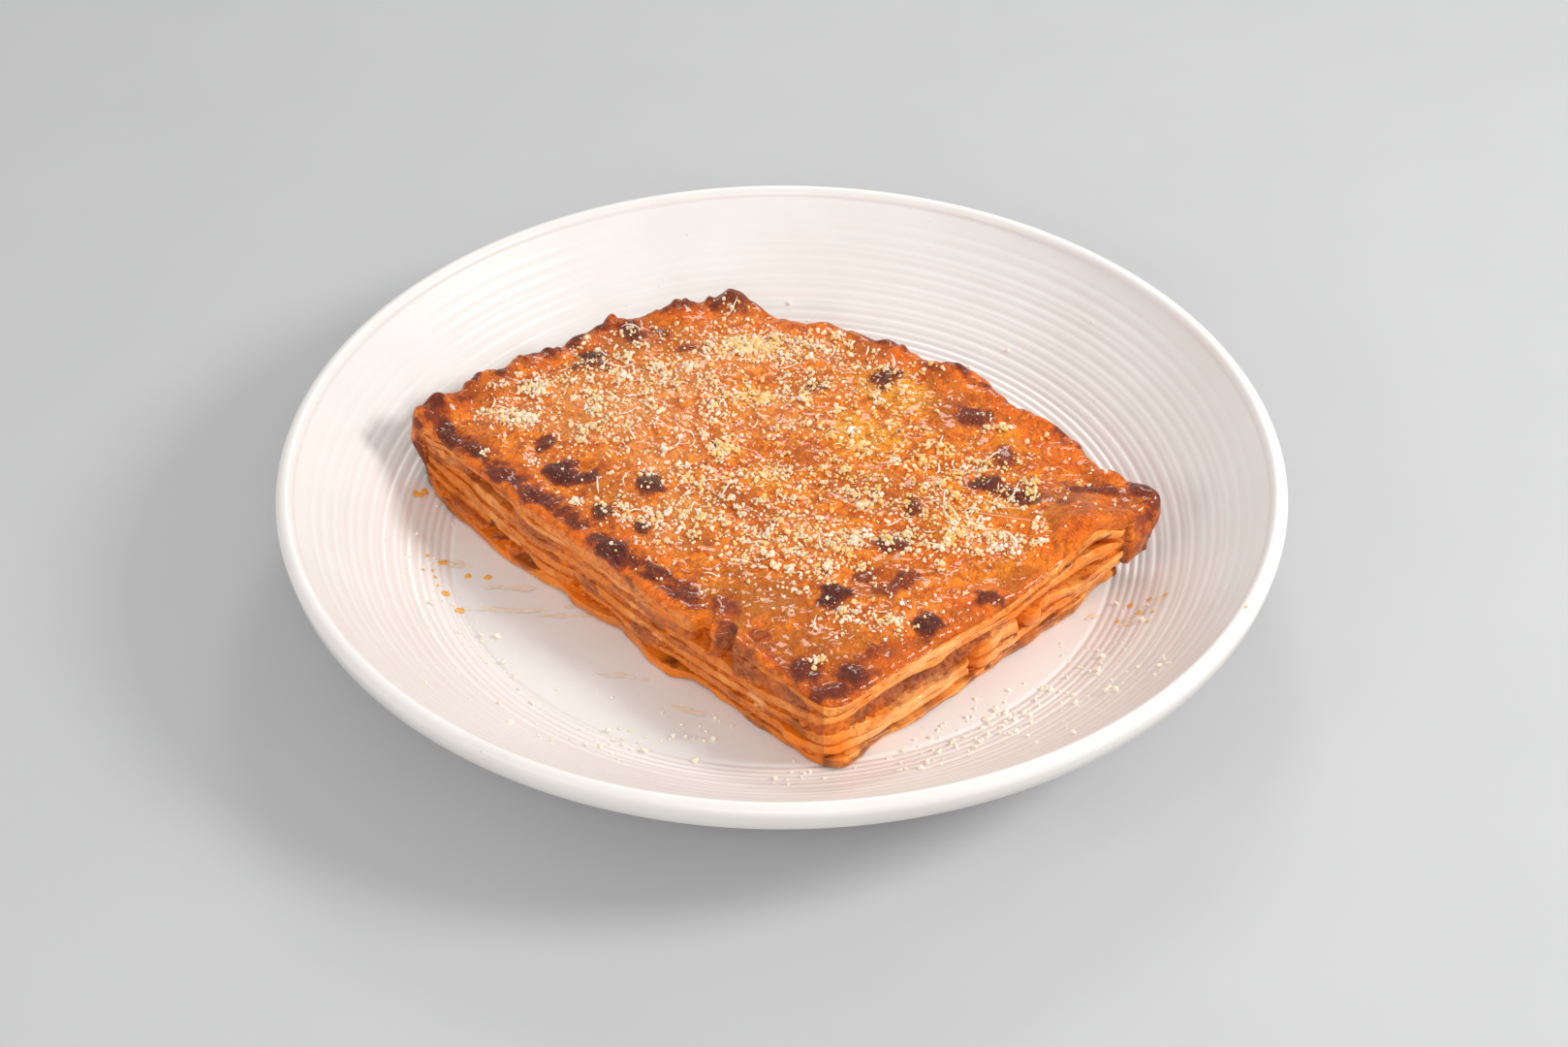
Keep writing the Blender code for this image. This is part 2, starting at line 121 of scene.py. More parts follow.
# Tops of the nine layers under the crust, over the table, at places along the cut sides: the
# side, the distance from its left end, then the heights, all in millimetres. They are read on the
# flat plane through the ends of the side, from above, so what stands out of it lies higher.
LAYER_HEIGHTS = (
    (0, 0, (15.0, 16.8, 18.4, 19.6, 21.2, 23.6, 25.2, 26.4, 28.2)),
    (0, 8, (11.4, 13.4, 15.4, 16.6, 19.2, 21.0, 23.4, 27.0, 28.8)),
    (0, 20, (10.0, 11.8, 14.0, 15.0, 18.7, 20.0, 23.2, 26.8, 28.2)),
    (0, 28, (9.8, 12.2, 14.1, 15.0, 18.8, 20.5, 23.4, 27.4, 28.9)),
    (0, 35, (9.5, 12.5, 14.2, 15.0, 18.6, 20.8, 23.8, 28.3, 29.7)),
    (0, 42, (9.5, 12.2, 14.0, 14.8, 18.2, 20.0, 23.0, 26.4, 28.0)),
    (0, 47, (9.4, 11.8, 13.6, 14.6, 17.8, 19.0, 21.5, 24.2, 25.8)),
    (0, 60, (9.7, 11.2, 13.2, 14.5, 17.0, 18.5, 21.0, 23.8, 25.3)),
    (0, 75, (9.9, 11.2, 13.0, 15.0, 17.5, 19.0, 21.5, 23.3, 24.9)),
    (0, 90, (9.8, 11.0, 12.6, 14.4, 16.5, 18.6, 20.9, 22.7, 24.3)),
    (0, 97, (9.8, 11.2, 13.0, 15.2, 17.4, 19.3, 21.2, 24.4, 25.9)),
    (0, 103, (9.8, 11.5, 13.1, 15.4, 17.5, 19.4, 21.4, 25.6, 27.1)),
    (0, 112, (9.6, 11.2, 13.1, 14.5, 16.6, 18.5, 20.6, 23.4, 25.0)),
    (0, 119, (9.5, 11.0, 13.2, 14.6, 16.8, 18.4, 20.6, 24.4, 26.0)),
    (0, 126, (9.5, 11.0, 13.5, 15.0, 17.2, 19.2, 21.4, 28.2, 29.6)),
    (0, 140, (9.5, 11.0, 13.6, 15.2, 17.6, 19.6, 21.8, 28.6, 30.0)),
    (0, 150, (9.6, 11.0, 14.0, 15.8, 18.4, 20.5, 23.0, 28.2, 29.6)),
    (0, 159, (9.7, 11.0, 13.6, 15.0, 18.0, 21.2, 24.6, 27.4, 29.2)),
    (1, 0, (10.6, 11.8, 14.5, 15.6, 19.2, 23.4, 25.5, 26.8, 29.2)),
    (1, 6, (10.9, 11.9, 14.8, 15.6, 19.4, 23.8, 25.9, 26.6, 28.8)),
    (1, 12, (10.2, 11.0, 13.4, 14.1, 17.4, 23.8, 25.6, 26.2, 28.3)),
    (1, 20, (9.2, 10.0, 12.4, 13.0, 15.6, 23.0, 25.2, 25.8, 28.0)),
    (1, 30, (8.8, 9.5, 11.0, 11.6, 13.3, 21.8, 24.0, 24.7, 27.0)),
    (1, 40, (8.8, 9.5, 10.9, 11.4, 12.9, 20.8, 23.0, 23.7, 26.2)),
    (1, 48, (9.0, 9.8, 11.4, 12.1, 13.9, 21.6, 23.8, 24.5, 26.9)),
    (1, 56, (9.9, 11.0, 13.8, 14.9, 18.0, 21.6, 23.3, 24.4, 26.2)),
    (1, 63, (9.9, 11.2, 14.6, 15.8, 19.2, 21.0, 23.0, 24.7, 26.4)),
    (1, 75, (10.8, 12.2, 15.1, 16.3, 19.8, 22.2, 24.4, 26.2, 28.2)),
    (1, 85, (11.2, 12.7, 15.3, 16.6, 19.8, 22.6, 25.5, 27.8, 30.0)),
    (1, 93, (11.8, 13.2, 15.4, 16.6, 19.0, 22.8, 26.6, 29.6, 32.0)),
    (1, 99, (12.6, 13.9, 15.6, 16.9, 18.9, 22.4, 26.4, 30.6, 33.2)),
    (1, 104, (13.4, 14.6, 16.2, 17.2, 19.2, 21.9, 25.4, 28.0, 30.8)),
    (1, 109, (14.2, 15.4, 16.9, 18.0, 19.9, 21.7, 24.0, 25.6, 27.8)),
)
HEIGHT_BLUR = 0.012
PLANE_LEAN = 0.58
EDGE_STANDOUT = 0.8 * MM

# Dents and juts of single layers on the cut sides: side, distance along it, half width, first and
# last layer (0 is pasta_1, 9 the crust) and how far it stands out, in millimetres
EDGE_SHIFTS = (
    (0, 28, 30, 0, 1, 2.6), (0, 72, 13, 0, 0, 2.0), (0, 105, 11, 0, 0, 2.0), (0, 34, 9, 7, 7, -4.5),
    (0, 32, 3.2, 1, 1, -4.0), (0, 38, 2.6, 1, 1, -3.0), (0, 117, 3.4, 7, 9, -3.6),
    (0, 126, 3.4, 7, 9, -3.0), (0, 134, 10, 7, 7, 0.8), (0, 48, 5, 1, 1, -1.6),
    (0, 108, 6, 1, 1, -2.2), (0, 101, 3.4, 5, 5, -2.0), (0, 66, 1.8, 2, 3, -2.0),
    (0, 154, 5, 3, 3, -3.4), (0, 153, 5, 2, 2, 1.2), (0, 25, 6, 7, 7, -1.4),
    (0, 20, 12, 5, 5, -1.6), (0, 58, 3, 5, 5, 0.8), (0, 95, 6, 3, 3, 0.7),
    (1, 5, 6, 1, 1, -3.0), (1, 7, 7, 0, 0, 1.0), (1, 100, 7, 7, 7, -6.0),
    (1, 90, 3.4, 5, 5, -2.4), (1, 96.5, 5.5, 5, 5, -3.4), (1, 52, 1.7, 2, 4, -2.6),
    (1, 58, 5, 2, 4, 0.9), (1, 69.5, 1.8, 3, 5, -2.6), (1, 73.5, 3.5, 4, 4, 1.2),
    (1, 106, 13, 0, 1, -1.6), (1, 108, 10, 2, 3, -0.6), (1, 87, 9, 0, 0, 0.6),
    (1, 45, 12, 8, 8, 0.9), (1, 35, 20, 5, 5, -0.8), (1, 35, 22, 0, 0, 2.2), (1, 84, 4, 7, 7, -1.4),
    (2, 15, 8, 9, 9, 1.5), (2, 30, 5, 9, 9, -0.6), (2, 47, 10, 9, 9, 2.0), (2, 65, 5, 9, 9, -0.6),
    (2, 80, 9, 9, 9, 2.0), (2, 92, 4, 9, 9, -0.8), (2, 103, 6, 9, 9, 1.0), (2, 137, 13, 9, 9, -2.6),
    (3, 36, 14, 9, 9, 1.2), (3, 55, 9, 9, 9, 2.2), (3, 84, 24, 9, 9, 2.6), (3, 70, 4, 9, 9, 0.8),
    (3, 98, 9, 9, 9, -2.0),
)

# Spots on the cut sides, by side and by what shows there: distance along the side, height, half
# width and half height in millimetres on the same plane, then how strongly it shows. The dark
# spots are painted shade in pits, notches and the gaps between layers; the cream ones are partly
# cream and partly painted highlights along the edges of the sheets.
FACE_SPOTS = {
    (0, "meat"): (
        (25, 24.8, 7, 2.2, 0.8), (50, 21.6, 11, 2.0, 0.7), (73, 16, 4, 2.6, 0.9),
        (96, 13.6, 6, 3.0, 0.7), (131, 26.6, 9.6, 5.4, 1.0), (154, 25.4, 4.6, 3.0, 0.9),
        (112, 18.0, 6, 2.0, 0.5), (84, 19.5, 5, 1.6, 0.5),
    ),
    # Painted shade in pits, notches and the gaps between layers
    (0, "painted_shade"): (
        (14, 13.0, 3, 1.4, 0.4), (32, 12, 1.6, 1.8, 1.0), (37, 11.6, 2.2, 1.0, 0.8),
        (38, 28.2, 4, 1.0, 0.6), (47, 9.8, 4.5, 1.8, 0.7), (5, 22.0, 2.0, 2.6, 0.6),
        (66, 14.6, 0.9, 1.8, 0.8), (57, 18.6, 3.0, 1.0, 0.4), (101, 20.2, 3.2, 1.0, 0.7),
        (107.5, 11.0, 3.6, 1.3, 0.8), (91, 27.2, 3.6, 1.0, 0.8), (98, 30.5, 4.0, 0.8, 0.6),
        (117.2, 31.2, 1.9, 1.8, 1.0), (125.6, 30.6, 2.4, 1.5, 1.0), (122.6, 27.4, 1.2, 3.0, 0.6),
        (154, 16.6, 4.0, 1.5, 0.7), (130, 12.8, 3.0, 1.2, 0.5), (140, 8.4, 6.0, 1.0, 0.5),
        (20, 9.0, 16, 0.7, 0.35), (152, 27.0, 4.0, 1.2, 0.4),
    ),
    (0, "sauce"): (
        (34, 28.4, 8, 1.0, 0.9), (117, 27.0, 2.6, 3.4, 1.0), (153, 12.6, 5.0, 2.2, 1.0),
        (60, 10, 12, 1.6, 0.7), (30, 9.0, 20, 2.4, 0.7), (104, 25, 6, 1.4, 0.7),
        (108, 8.6, 20, 1.4, 0.8), (160, 9.0, 8, 2.4, 0.7),
    ),
    # Cream, and partly painted highlights along the edges of the sheets
    (0, "cream_and_highlight"): (
        (139, 16, 3.6, 2.4, 0.8), (42, 14.0, 2.4, 1.4, 0.7), (102, 15.6, 1.6, 0.8, 0.8),
        (10, 26, 6, 2.6, 0.3), (22, 15.4, 5, 1.6, 0.4), (88, 24.2, 12, 0.8, 0.4),
        (36, 30.2, 8, 0.8, 0.5), (60, 25.2, 20, 0.6, 0.4),
    ),
    (1, "meat"): (
        (15, 21.2, 6, 1.8, 0.8), (29, 18.0, 10, 4.2, 1.0), (42, 17.2, 9, 4.2, 1.0),
        (54, 20.4, 4, 2.2, 0.8), (61, 21.0, 3, 1.0, 0.8), (84, 26.0, 5, 1.0, 0.8),
        (96.5, 20.4, 4.4, 1.5, 1.0), (98, 30.4, 2.4, 1.2, 0.9), (72, 23.0, 3, 1.6, 0.4),
    ),
    # Painted shade in pits, notches and the gaps between layers
    (1, "painted_shade"): (
        (11, 19.6, 5, 1.4, 0.4), (33, 19.6, 6, 2.0, 0.5), (51, 14, 1.0, 2.0, 0.5),
        (57.5, 10.0, 1.6, 1.0, 0.9), (90, 20.6, 2.0, 0.8, 0.9), (98, 20.0, 3.0, 0.8, 0.6),
        (101, 29.4, 3.4, 0.7, 1.0), (69, 18.4, 0.9, 2.0, 0.7), (84, 10.4, 9, 1.0, 0.6),
        (15, 9.6, 12, 0.8, 0.7), (35, 7.8, 12, 0.8, 0.5), (92, 27.6, 14, 0.4, 0.4),
        (66, 15.2, 5, 0.4, 0.5), (90, 15.6, 14, 0.4, 0.4), (98, 23.6, 8, 0.4, 0.4),
    ),
    # Cream, and partly painted highlights along the edges of the sheets
    (1, "cream_and_highlight"): (
        (30, 12, 22, 3.0, 0.6), (35, 25.4, 16, 1.6, 0.7), (62, 18.6, 6, 1.6, 0.6),
        (60, 12.6, 6, 1.6, 0.4),
    ),
    (1, "sauce"): (
        (52, 13.4, 2.0, 2.6, 0.8), (3, 18, 5, 6, 0.7), (69, 20, 2.0, 5.0, 0.9),
        (104, 25, 5, 4, 0.6), (100, 32.8, 7, 1.4, 0.5), (88, 22.8, 10, 1.2, 0.5),
    ),
}
FACE_COATING = (0.85, 0.2)

# Edges of the layers
EDGE_WANDER = 0.9 * MM
EDGE_SIZE = 16 * MM
LAYER_KINSHIP = 0.35
PASTA_BULGE = (0.1 * MM, 1.4 * MM)
FILLING_BULGE = (-1.0 * MM, 0.9 * MM)
# Shares of the least and the most bulge that the front-left side has
LEFT_BULGES = (0.35, 0.75)
BACK_BULGE = 0.3
LAYER_POINTS = (340, 250, 36, 36)
LAYER_INSETS = np.array((9, 5, 2.6, 1.2, 0.5)) * MM
EDGE_ROWS = 10
RELIEF_DEPTH = 3 * MM
PASTA_TUCKS = np.array((0.42, 0.62)) * MM
FILLING_TUCK = 0.25 * MM
LAYER_OVERLAP = 0.12 * MM

# Crust
CRUST_POINTS = (270, 200, 270, 200)
CRUST_SPREAD = 0.8 * MM
CRUST_LIP = 0.1 * MM
CRUST_HEM = (0.6 * MM, 2.0 * MM)
# Near the right tip, at stations after the stack's corner: how far the hem is moved up in
# millimetres, and how far it is drawn in, as a share of the crust's width
HEM_SHIFTS = ((0, 0.04, 0.065, 0.09, 0.12, 0.3), (1.8, 0.2, -1.2, 2.0, 2.0, 0))
HEM_TAPERS = ((0.065, 0.09, 0.3), (0.05, 0.3, 0.45))
CRUST_CLEARANCE = 0.4 * MM
GRID_EVENING = 160
SKIRT_ROWS = 20
SHOULDER_ROWS = 5
SHOULDER = 2.8 * MM
CUT_SPREAD = 0.1 * MM

# Lumps on the crust: height, size and seed
CRUST_LUMPS = ((0.75 * MM, 7 * MM, 50), (0.30 * MM, 2.1 * MM, 52))
CRAG_HEIGHT = 1.6 * MM
CRAG_SIZE = 3.2 * MM
CRAG_REACH = 6 * MM
CRAG_ON_RIM = 0.35
BUBBLE_HEIGHT = 0.3 * MM
BUBBLE_SIZE = 1.9 * MM
RAGGEDNESS = 1.5
RAGGED_SIZE = 4.2
# Belly of the crust's side, on the baked sides and on the cut ones
BELLY = (0.5 * MM, 0.25 * MM)
ROOF_INSET = 6 * MM
CUT_OVERLAP = 2.5 * MM

# Larger forms on the crust: x, y, radius and height in millimetres
FORMS = (
    (85, -28, 17, 6.5), (50, 46, 6, 1.6), (73, 23, 7, 1.6), (93, -3, 6, 1.6), (0, 76, 9, -2.6),
    (-88, 44, 9, 3.0), (-76, 54, 8, 1.6), (-63, 68, 4, 2.6), (-52, 73, 6, 2.6), (-97, 30, 7, 3.0),
    (14, 6, 7, 0.7), (-20, 45, 7, 0.8), (-48, 22, 8, 0.7), (2, -25, 7, 0.8), (44, -24, 8, 0.7),
    (30, 30, 6, -0.8), (-6, 20, 6, -0.7), (52, 10, 6, -0.8), (-30, -12, 6, -0.8), (20, -45, 7, -0.7),
    (72, -13, 7, 0.9), (64, 26, 5, -0.9), (-57, 49, 7, 1.3), (-31, 80, 6, 1.6), (-15, 81, 6.5, 2.6),
    (-62, 69, 3, 1.8), (-62, 64, 4, 0.8), (-20, -22, 12, 0.6), (-33, -2, 9, -0.7),
    (30, 62, 5, 0.9), (46, 40, 9, 0.6), (74, -9, 9, -0.9), (88, -10, 6, 0.8), (98, -9, 6, 1.0),
    (20, -78, 8, 0.8), (54, -53, 6, 0.6), (60, -40, 9, 0.6), (-57, -11, 2.6, -2.2),
    (-88, 14, 8, 0.7), (10, 8, 14, -0.5), (-40, 35, 16, 0.4), (-2, -60, 10, 0.5),
)

# Dark blisters: x, y, radius along, radius across, turn in degrees and darkness
BLISTERS = (
    (-95, 17, 7.5, 3.2, 125, 0.85), (-88, 9, 3.2, 2.6, 0, 0.8), (-78, -3, 5.5, 2.8, 150, 0.75),
    (-67, 12, 2.6, 4.0, 0, 0.8), (-61, -1, 5.4, 4.0, 150, 1.0), (-54.5, -3, 3.6, 3.2, 0, 0.9),
    (-64, -14, 3.0, 2.4, 0, 0.65), (-59.5, -18, 2.6, 2.0, 0, 0.7), (-37, -8, 3.6, 5.0, 0, 1.0),
    (-49, -20, 3.6, 2.6, 150, 0.95), (-38, -26, 3.6, 2.6, 150, 0.9),
    (-46.5, -35, 7.5, 3.6, 130, 0.95), (-57, 56, 4.2, 3.6, 150, 1.0), (-57, 49.5, 6.0, 3.0, 10, 0.7),
    (-62, 69, 2.4, 2.4, 0, 1.0), (-45, 66, 3.6, 4.4, 20, 0.85), (-36, 68, 3.2, 2.2, 0, 0.6),
    (-31, 80, 5.4, 4.4, 20, 0.6), (-15, 81, 5.6, 4.6, 0, 0.65), (-28, 57, 3.0, 2.0, 0, 0.5),
    (31, 42.5, 4.2, 4.4, 0, 0.8), (9, 40, 2.6, 2.6, 0, 0.6), (31, 61, 5.0, 2.6, 150, 0.75),
    (55, 24.5, 5.4, 4.0, 140, 0.75), (57, -7, 4.6, 3.4, 160, 0.95), (67, -12, 8.0, 2.8, 165, 0.8),
    (86, -8.5, 10.0, 2.6, 158, 0.75), (63, 6, 3.2, 4.0, 0, 0.55), (36, -17, 2.8, 4.2, 0, 0.75),
    (29, -33, 5.4, 4.0, 20, 0.75), (13.5, -54.5, 3.4, 4.6, 140, 1.0), (22, -46, 3.6, 3.4, 0, 0.55),
    (33, -48, 4.2, 3.2, 30, 0.6), (28, -52, 4.0, 3.0, 0, 0.5), (54, -54, 4.2, 3.4, 20, 0.75),
    (38, -65, 3.2, 3.8, 150, 0.95), (6, -82, 4.4, 4.6, 0, 0.8), (18, -84.5, 4.6, 5.0, 30, 0.85),
    (12, -90, 6.0, 3.0, 0, 0.75), (-25, -52, 6.0, 3.0, 130, 0.7), (-15, -58, 5.0, 3.0, 130, 0.5),
    (100, -9, 3.6, 5.0, 30, 0.75), (-33, -44, 5.0, 2.6, 130, 0.8), (-70, -10, 4.0, 2.6, 130, 0.7),
    (-100, 27, 4.6, 3.4, 60, 0.75), (-94, 41, 4.0, 2.6, 40, 0.8), (24, -76, 4.0, 2.6, 20, 0.45),
    (-6, -70, 4.0, 3.0, 130, 0.4), (76, -17, 4.0, 2.6, 160, 0.5), (45, 47, 3.4, 2.4, 140, 0.4),
)
BLISTER_HEIGHT = 0.34
# Burnt corners of the crust: x, y and reach in millimetres, and strength
BURNT_TIPS = ((101, -14, 15, 0.8), (-106, 26, 7, 0.4), (-16, 86, 9, 0.9))

PATCH_SIZE = 3.6 * MM
BROAD_SIZE = 16 * MM
RED_REACH = 24 * MM
TAN_WIDTH = 5 * MM
ROLL_WIDTH = 4 * MM

# Burnt band along the front left: where it starts, fades in and ends, and its strength at shares
# of the side's length
BURNT_BAND_START = 1.2 * MM
BURNT_BAND_FADE = 2.4 * MM
BURNT_BAND_WIDTH = 9 * MM
BURNT_BAND_STRENGTH = ((0, 0.03, 0.2, 0.62, 0.72, 1), (0.3, 0.9, 0.95, 0.9, 0.5, 0.45))
# Burnt rims at the back: side, width, least burn and how much it varies
BURNT_RIMS = ((3, 8 * MM, 0.42, 0.7), (2, 4 * MM, 0.15, 0.8))

# The powder of cheese on the crust is thick at the back left and thin at the front right: its
# strength at distances across that way, in millimetres
DUST_LEAN = ((-60, 80), (0.1, 1.4))

# Where each tone of the crust shows: x, y and half widths in millimetres, turn in degrees and
# strength. The tan tone is partly pale baked patches and partly painted sheen.
CRUST_ZONES = {
    "gold": (
        (33, 37, 12, 8, 140, 1.0), (22, 16, 10, 9, 0, 0.9), (-8, 33, 8, 6, 0, 0.6),
        (-5, -6, 7, 5, 0, 0.7), (-25, -20, 9, 5, 150, 0.5), (-66, 40, 8, 6, 40, 0.4),
        (24, -4, 6, 4, 0, 0.5), (52, -22, 12, 7, 20, 0.5), (66, 12, 6, 4, 140, 0.3),
        (-10, 60, 9, 6, 0, 0.5), (60, -44, 14, 5, 35, 0.3),
    ),
    "brown": (
        (50, 26, 8, 7, 140, 0.8), (28, -12, 16, 7, 160, 0.6), (-12, -16, 11, 6, 150, 0.7),
        (4, 4, 8, 6, 0, 0.5), (76, -10, 16, 4, 160, 0.7), (26, -50, 12, 6, 30, 0.6),
        (-45, 68, 10, 6, 30, 0.6), (26, 60, 9, 5, 150, 0.6), (-30, 58, 7, 5, 0, 0.4),
        (12, -84, 14, 7, 0, 0.7), (45, 44, 6, 4, 140, 0.5), (5, 42, 7, 5, 0, 0.5),
        (36, -30, 8, 5, 20, 0.5), (-22, -32, 7, 5, 0, 0.5), (64, 4, 6, 8, 0, 0.5),
        (62, -48, 9, 3, 37, 0.7), (30, -74, 8, 3, 37, 0.8), (48, -60, 6, 3, 37, 0.6),
        (84, -24, 8, 3, 37, 0.5), (-86, 36, 8, 5, 40, 0.5), (40, -72, 20, 4, 35, 0.5),
    ),
    "olive": (
        (-45, 60, 12, 5, 20, 0.6), (-4, -56, 16, 10, 160, 0.9), (8, -72, 14, 7, 0, 0.8),
        (58, 2, 6, 4, 0, 0.6), (-46, -12, 8, 4, 150, 0.7), (20, 52, 9, 5, 150, 0.4),
        (-10, -45, 10, 5, 150, 0.6), (-60, 20, 8, 6, 0, 0.3), (72, -22, 8, 5, 20, 0.4),
    ),
    # Pale baked patches, partly painted sheen
    "tan_and_sheen": (
        (-45, 28, 20, 14, 0, 0.9), (-20, 48, 16, 8, 20, 0.7), (-5, 22, 10, 8, 0, 0.6),
        (-34, 6, 14, 9, 0, 0.7), (-28, -28, 12, 6, 150, 0.5), (10, -32, 14, 7, 0, 0.6),
        (8, 58, 12, 6, 0, 0.5), (-72, 24, 8, 6, 0, 0.6), (34, -62, 12, 5, 30, 0.3),
    ),
}

# Drifts of grated cheese: x, y, spread along x and y in millimetres, and number of grains
DRIFTS = (
    (-78, 26, 5, 2.6, 230), (-75, 21, 4, 2, 90), (-71, 40, 2.6, 2.8, 90), (-81, 36, 4, 4, 60),
    (-65, 46, 4, 3, 60), (-57, 60, 4, 4, 60), (-45, 59, 5, 5, 110), (-35, 46, 9, 5, 430),
    (-55, 44, 6, 5, 110), (-57, 35, 6, 5, 120), (-10, 59, 6.5, 4.5, 620), (-30, 66, 6, 3, 80),
    (-15, 74, 4, 3, 60), (-8, 34, 5, 3.4, 170), (-20, 28, 3.6, 8, 280), (-16, 8, 2.4, 3, 60),
    (-42, 30, 7, 5, 220), (-49, 21, 6, 4, 110), (-56, 15, 5, 5, 110), (-40, 14, 7, 5, 150),
    (-35, 3, 6, 4, 90), (-24, -5, 7, 4, 170), (-5, -3, 4, 4, 120), (-45, -12, 3, 3, 30),
    (-43, -20, 5, 3, 110), (-30, -23, 6, 6, 330), (-20, -17, 5, 5, 60), (-10, -27, 5, 4, 110),
    (-12, -36, 4, 4, 110), (-34, -36, 4, 3, 40), (5, 59, 6, 4.5, 220), (15, 60, 4, 4.5, 130),
    (28, 50, 5, 4, 120), (13, 45, 6, 4, 90), (6, 37, 6, 5, 180), (25, 33, 8, 5, 150),
    (4, 19, 7, 6, 150), (20, 15, 5, 4, 90), (37, 20, 5, 5, 110), (38, 9, 5, 3, 60),
    (32, 2, 3, 2, 40), (45, 2, 6, 5, 110), (52, 3, 5, 4, 110), (60, 20, 3, 3, 40),
    (40, 45, 5, 4, 60), (66, 7, 3, 4, 40), (67, -4, 4, 3, 40), (15, -3, 6, 4, 130),
    (25, -12, 7, 5, 220), (0, -13, 7, 5, 190), (44, -12, 5, 4, 170), (56, -20, 7, 5, 330),
    (45, -30, 7, 5, 330), (60, -32, 5, 3, 150), (70, -27, 2.6, 2.6, 60), (65, -12, 5, 3, 40),
    (4, -28, 6, 5, 240), (18, -32, 5, 5, 260), (-5, -38, 5, 3, 90), (10, -42, 5, 4, 130),
    (33, -29, 4, 5, 130), (3, -50, 6, 4, 50), (17, -63, 5, 3.4, 130), (29, -65, 4, 3, 100),
    (38, -54, 8, 4, 60), (8, -80, 1.4, 1.2, 10), (-84, 7, 1.2, 1.2, 6), (-70, 4, 1.6, 2, 10),
    (-56, -15, 1.4, 1.4, 10), (82, -20, 5, 5, 12), (86, -4, 5, 2, 14), (-20, -50, 2.4, 2, 16),
    (22, 2, 30, 30, 320), (-30, 20, 26, 22, 280), (10, -45, 26, 14, 150), (-62, 30, 14, 14, 80),
)
LUMPS = (
    (-56.5, -14.5, 1.6), (-84, 7.5, 1.3), (-70, 3.5, 1.2), (-16.5, 9, 2.6), (-15, 6, 2.2),
    (-17.5, 5.5, 1.8), (22, 8, 2.4), (24, 6, 1.8), (-8, 35, 2.2), (-5, 32, 2.0), (-11, 33, 1.8),
    (-3, 34, 1.8), (-9, 61, 2.4), (-5, 58, 2.0), (-12, 57, 2.2), (-15, 61, 1.8), (-2, 61, 1.8),
    (-75, 25, 1.7), (-79, 27, 1.6), (-72, 24, 1.5), (32.5, 2, 1.6), (56, 1, 1.6), (52, 2, 1.2),
    (46, -33, 1.9), (48, -29, 1.8), (42, -34, 1.5), (62, -32, 1.6), (59, -34, 1.4), (70, -27, 1.4),
    (55, -22, 1.5), (-31, -21, 1.6), (-28, -27, 1.5), (16, -37, 1.8), (19, -33, 1.6),
    (-4, -28, 1.4), (5, -31, 1.5), (17, -64, 1.4), (8.5, -80, 1.1), (23, -29, 1.6), (26, -12, 1.3),
    (-71, 40, 1.6), (-70, 37, 1.3), (-26, -4, 1.8), (-23, -7, 1.5), (-5, -4, 1.8), (-20, 30, 1.5),
    (-34, 44, 1.4), (-38, 47, 1.4), (28, 33, 1.5), (20, 16, 1.7), (12, -43, 1.5), (30, -65, 1.3),
)
GRAIN_SHARE = 0.55
GRAIN_RADIUS = (0.26 * MM, 1.15 * MM)
GRAIN_MARGIN = 3 * MM
CLUMP_COUNT = 300
CLUMP_REACH = (0.6, 1.6)
CLUMP_GRAINS = 9
SHRED_COUNT = 120
SHRED_LENGTH = (2.6 * MM, 7.0 * MM)
SHRED_RADIUS = 0.17 * MM
SHRED_MARGIN = 5 * MM
SHRED_SIDES = 4
SHRED_STEPS = 6
SHRED_LIFT = 0.25 * MM
LUMP_GRAINS = 9
GOLDEN_LUMP = 1.8
# Part of the crust where the grains have turned golden: x, y and reach in millimetres, strength
GOLDEN_PART = (32, 8, 36, 0.35)

CRUMB_MARGIN = 3 * MM
CRUMB_RIM_MARGIN = 8 * MM

# What lies on the plate, in millimetres: middles, spreads and numbers of the cheese crumbs
PLATE_CRUMBS = (
    (-96, 6, 2, 2, 4), (-101, -14, 4, 4, 8), (-108, -10, 3, 5, 5), (-96, -30, 3, 5, 8),
    (-89, -45, 5, 5, 12), (-78, -58, 6, 5, 10), (-54, -86, 6, 4, 14), (-42, -88, 6, 3, 14),
    (-20, -82, 4, 3, 12), (5, -99, 5, 3, 12), (36, -92, 8, 4, 16), (50, -84, 7, 5, 36),
    (60, -78, 6, 4, 24), (74, -66, 6, 4, 14), (84, -56, 5, 5, 20), (70, -84, 8, 5, 14),
    (90, -74, 6, 5, 14), (96, -40, 4, 5, 6), (-30, -84, 20, 6, 16), (30, -96, 16, 5, 14),
    (-70, -70, 20, 12, 12), (70, 70, 20, 10, 5), (20, 100, 20, 6, 5),
)
OIL_DROPS = (
    (-95.5, -13.5, 1.4), (-88, -19, 1.2), (-82.5, -19.5, 1.3), (-100, -12, 0.7), (-98, -18, 0.5),
    (-97, -20.5, 0.6), (-93.5, -27, 1.3), (-89, -33.5, 1.4), (-100.5, -19, 0.5), (-96, -24, 0.5),
    (96, -34, 1.0), (101, -34, 0.8), (97.5, -39, 0.9), (92, -40, 0.8), (105, -35, 0.7),
    (101, -41, 0.6), (119.5, -66, 1.1), (-105, 12.5, 1.5), (-103.5, 14.5, 1.2), (99, -45, 0.6),
)
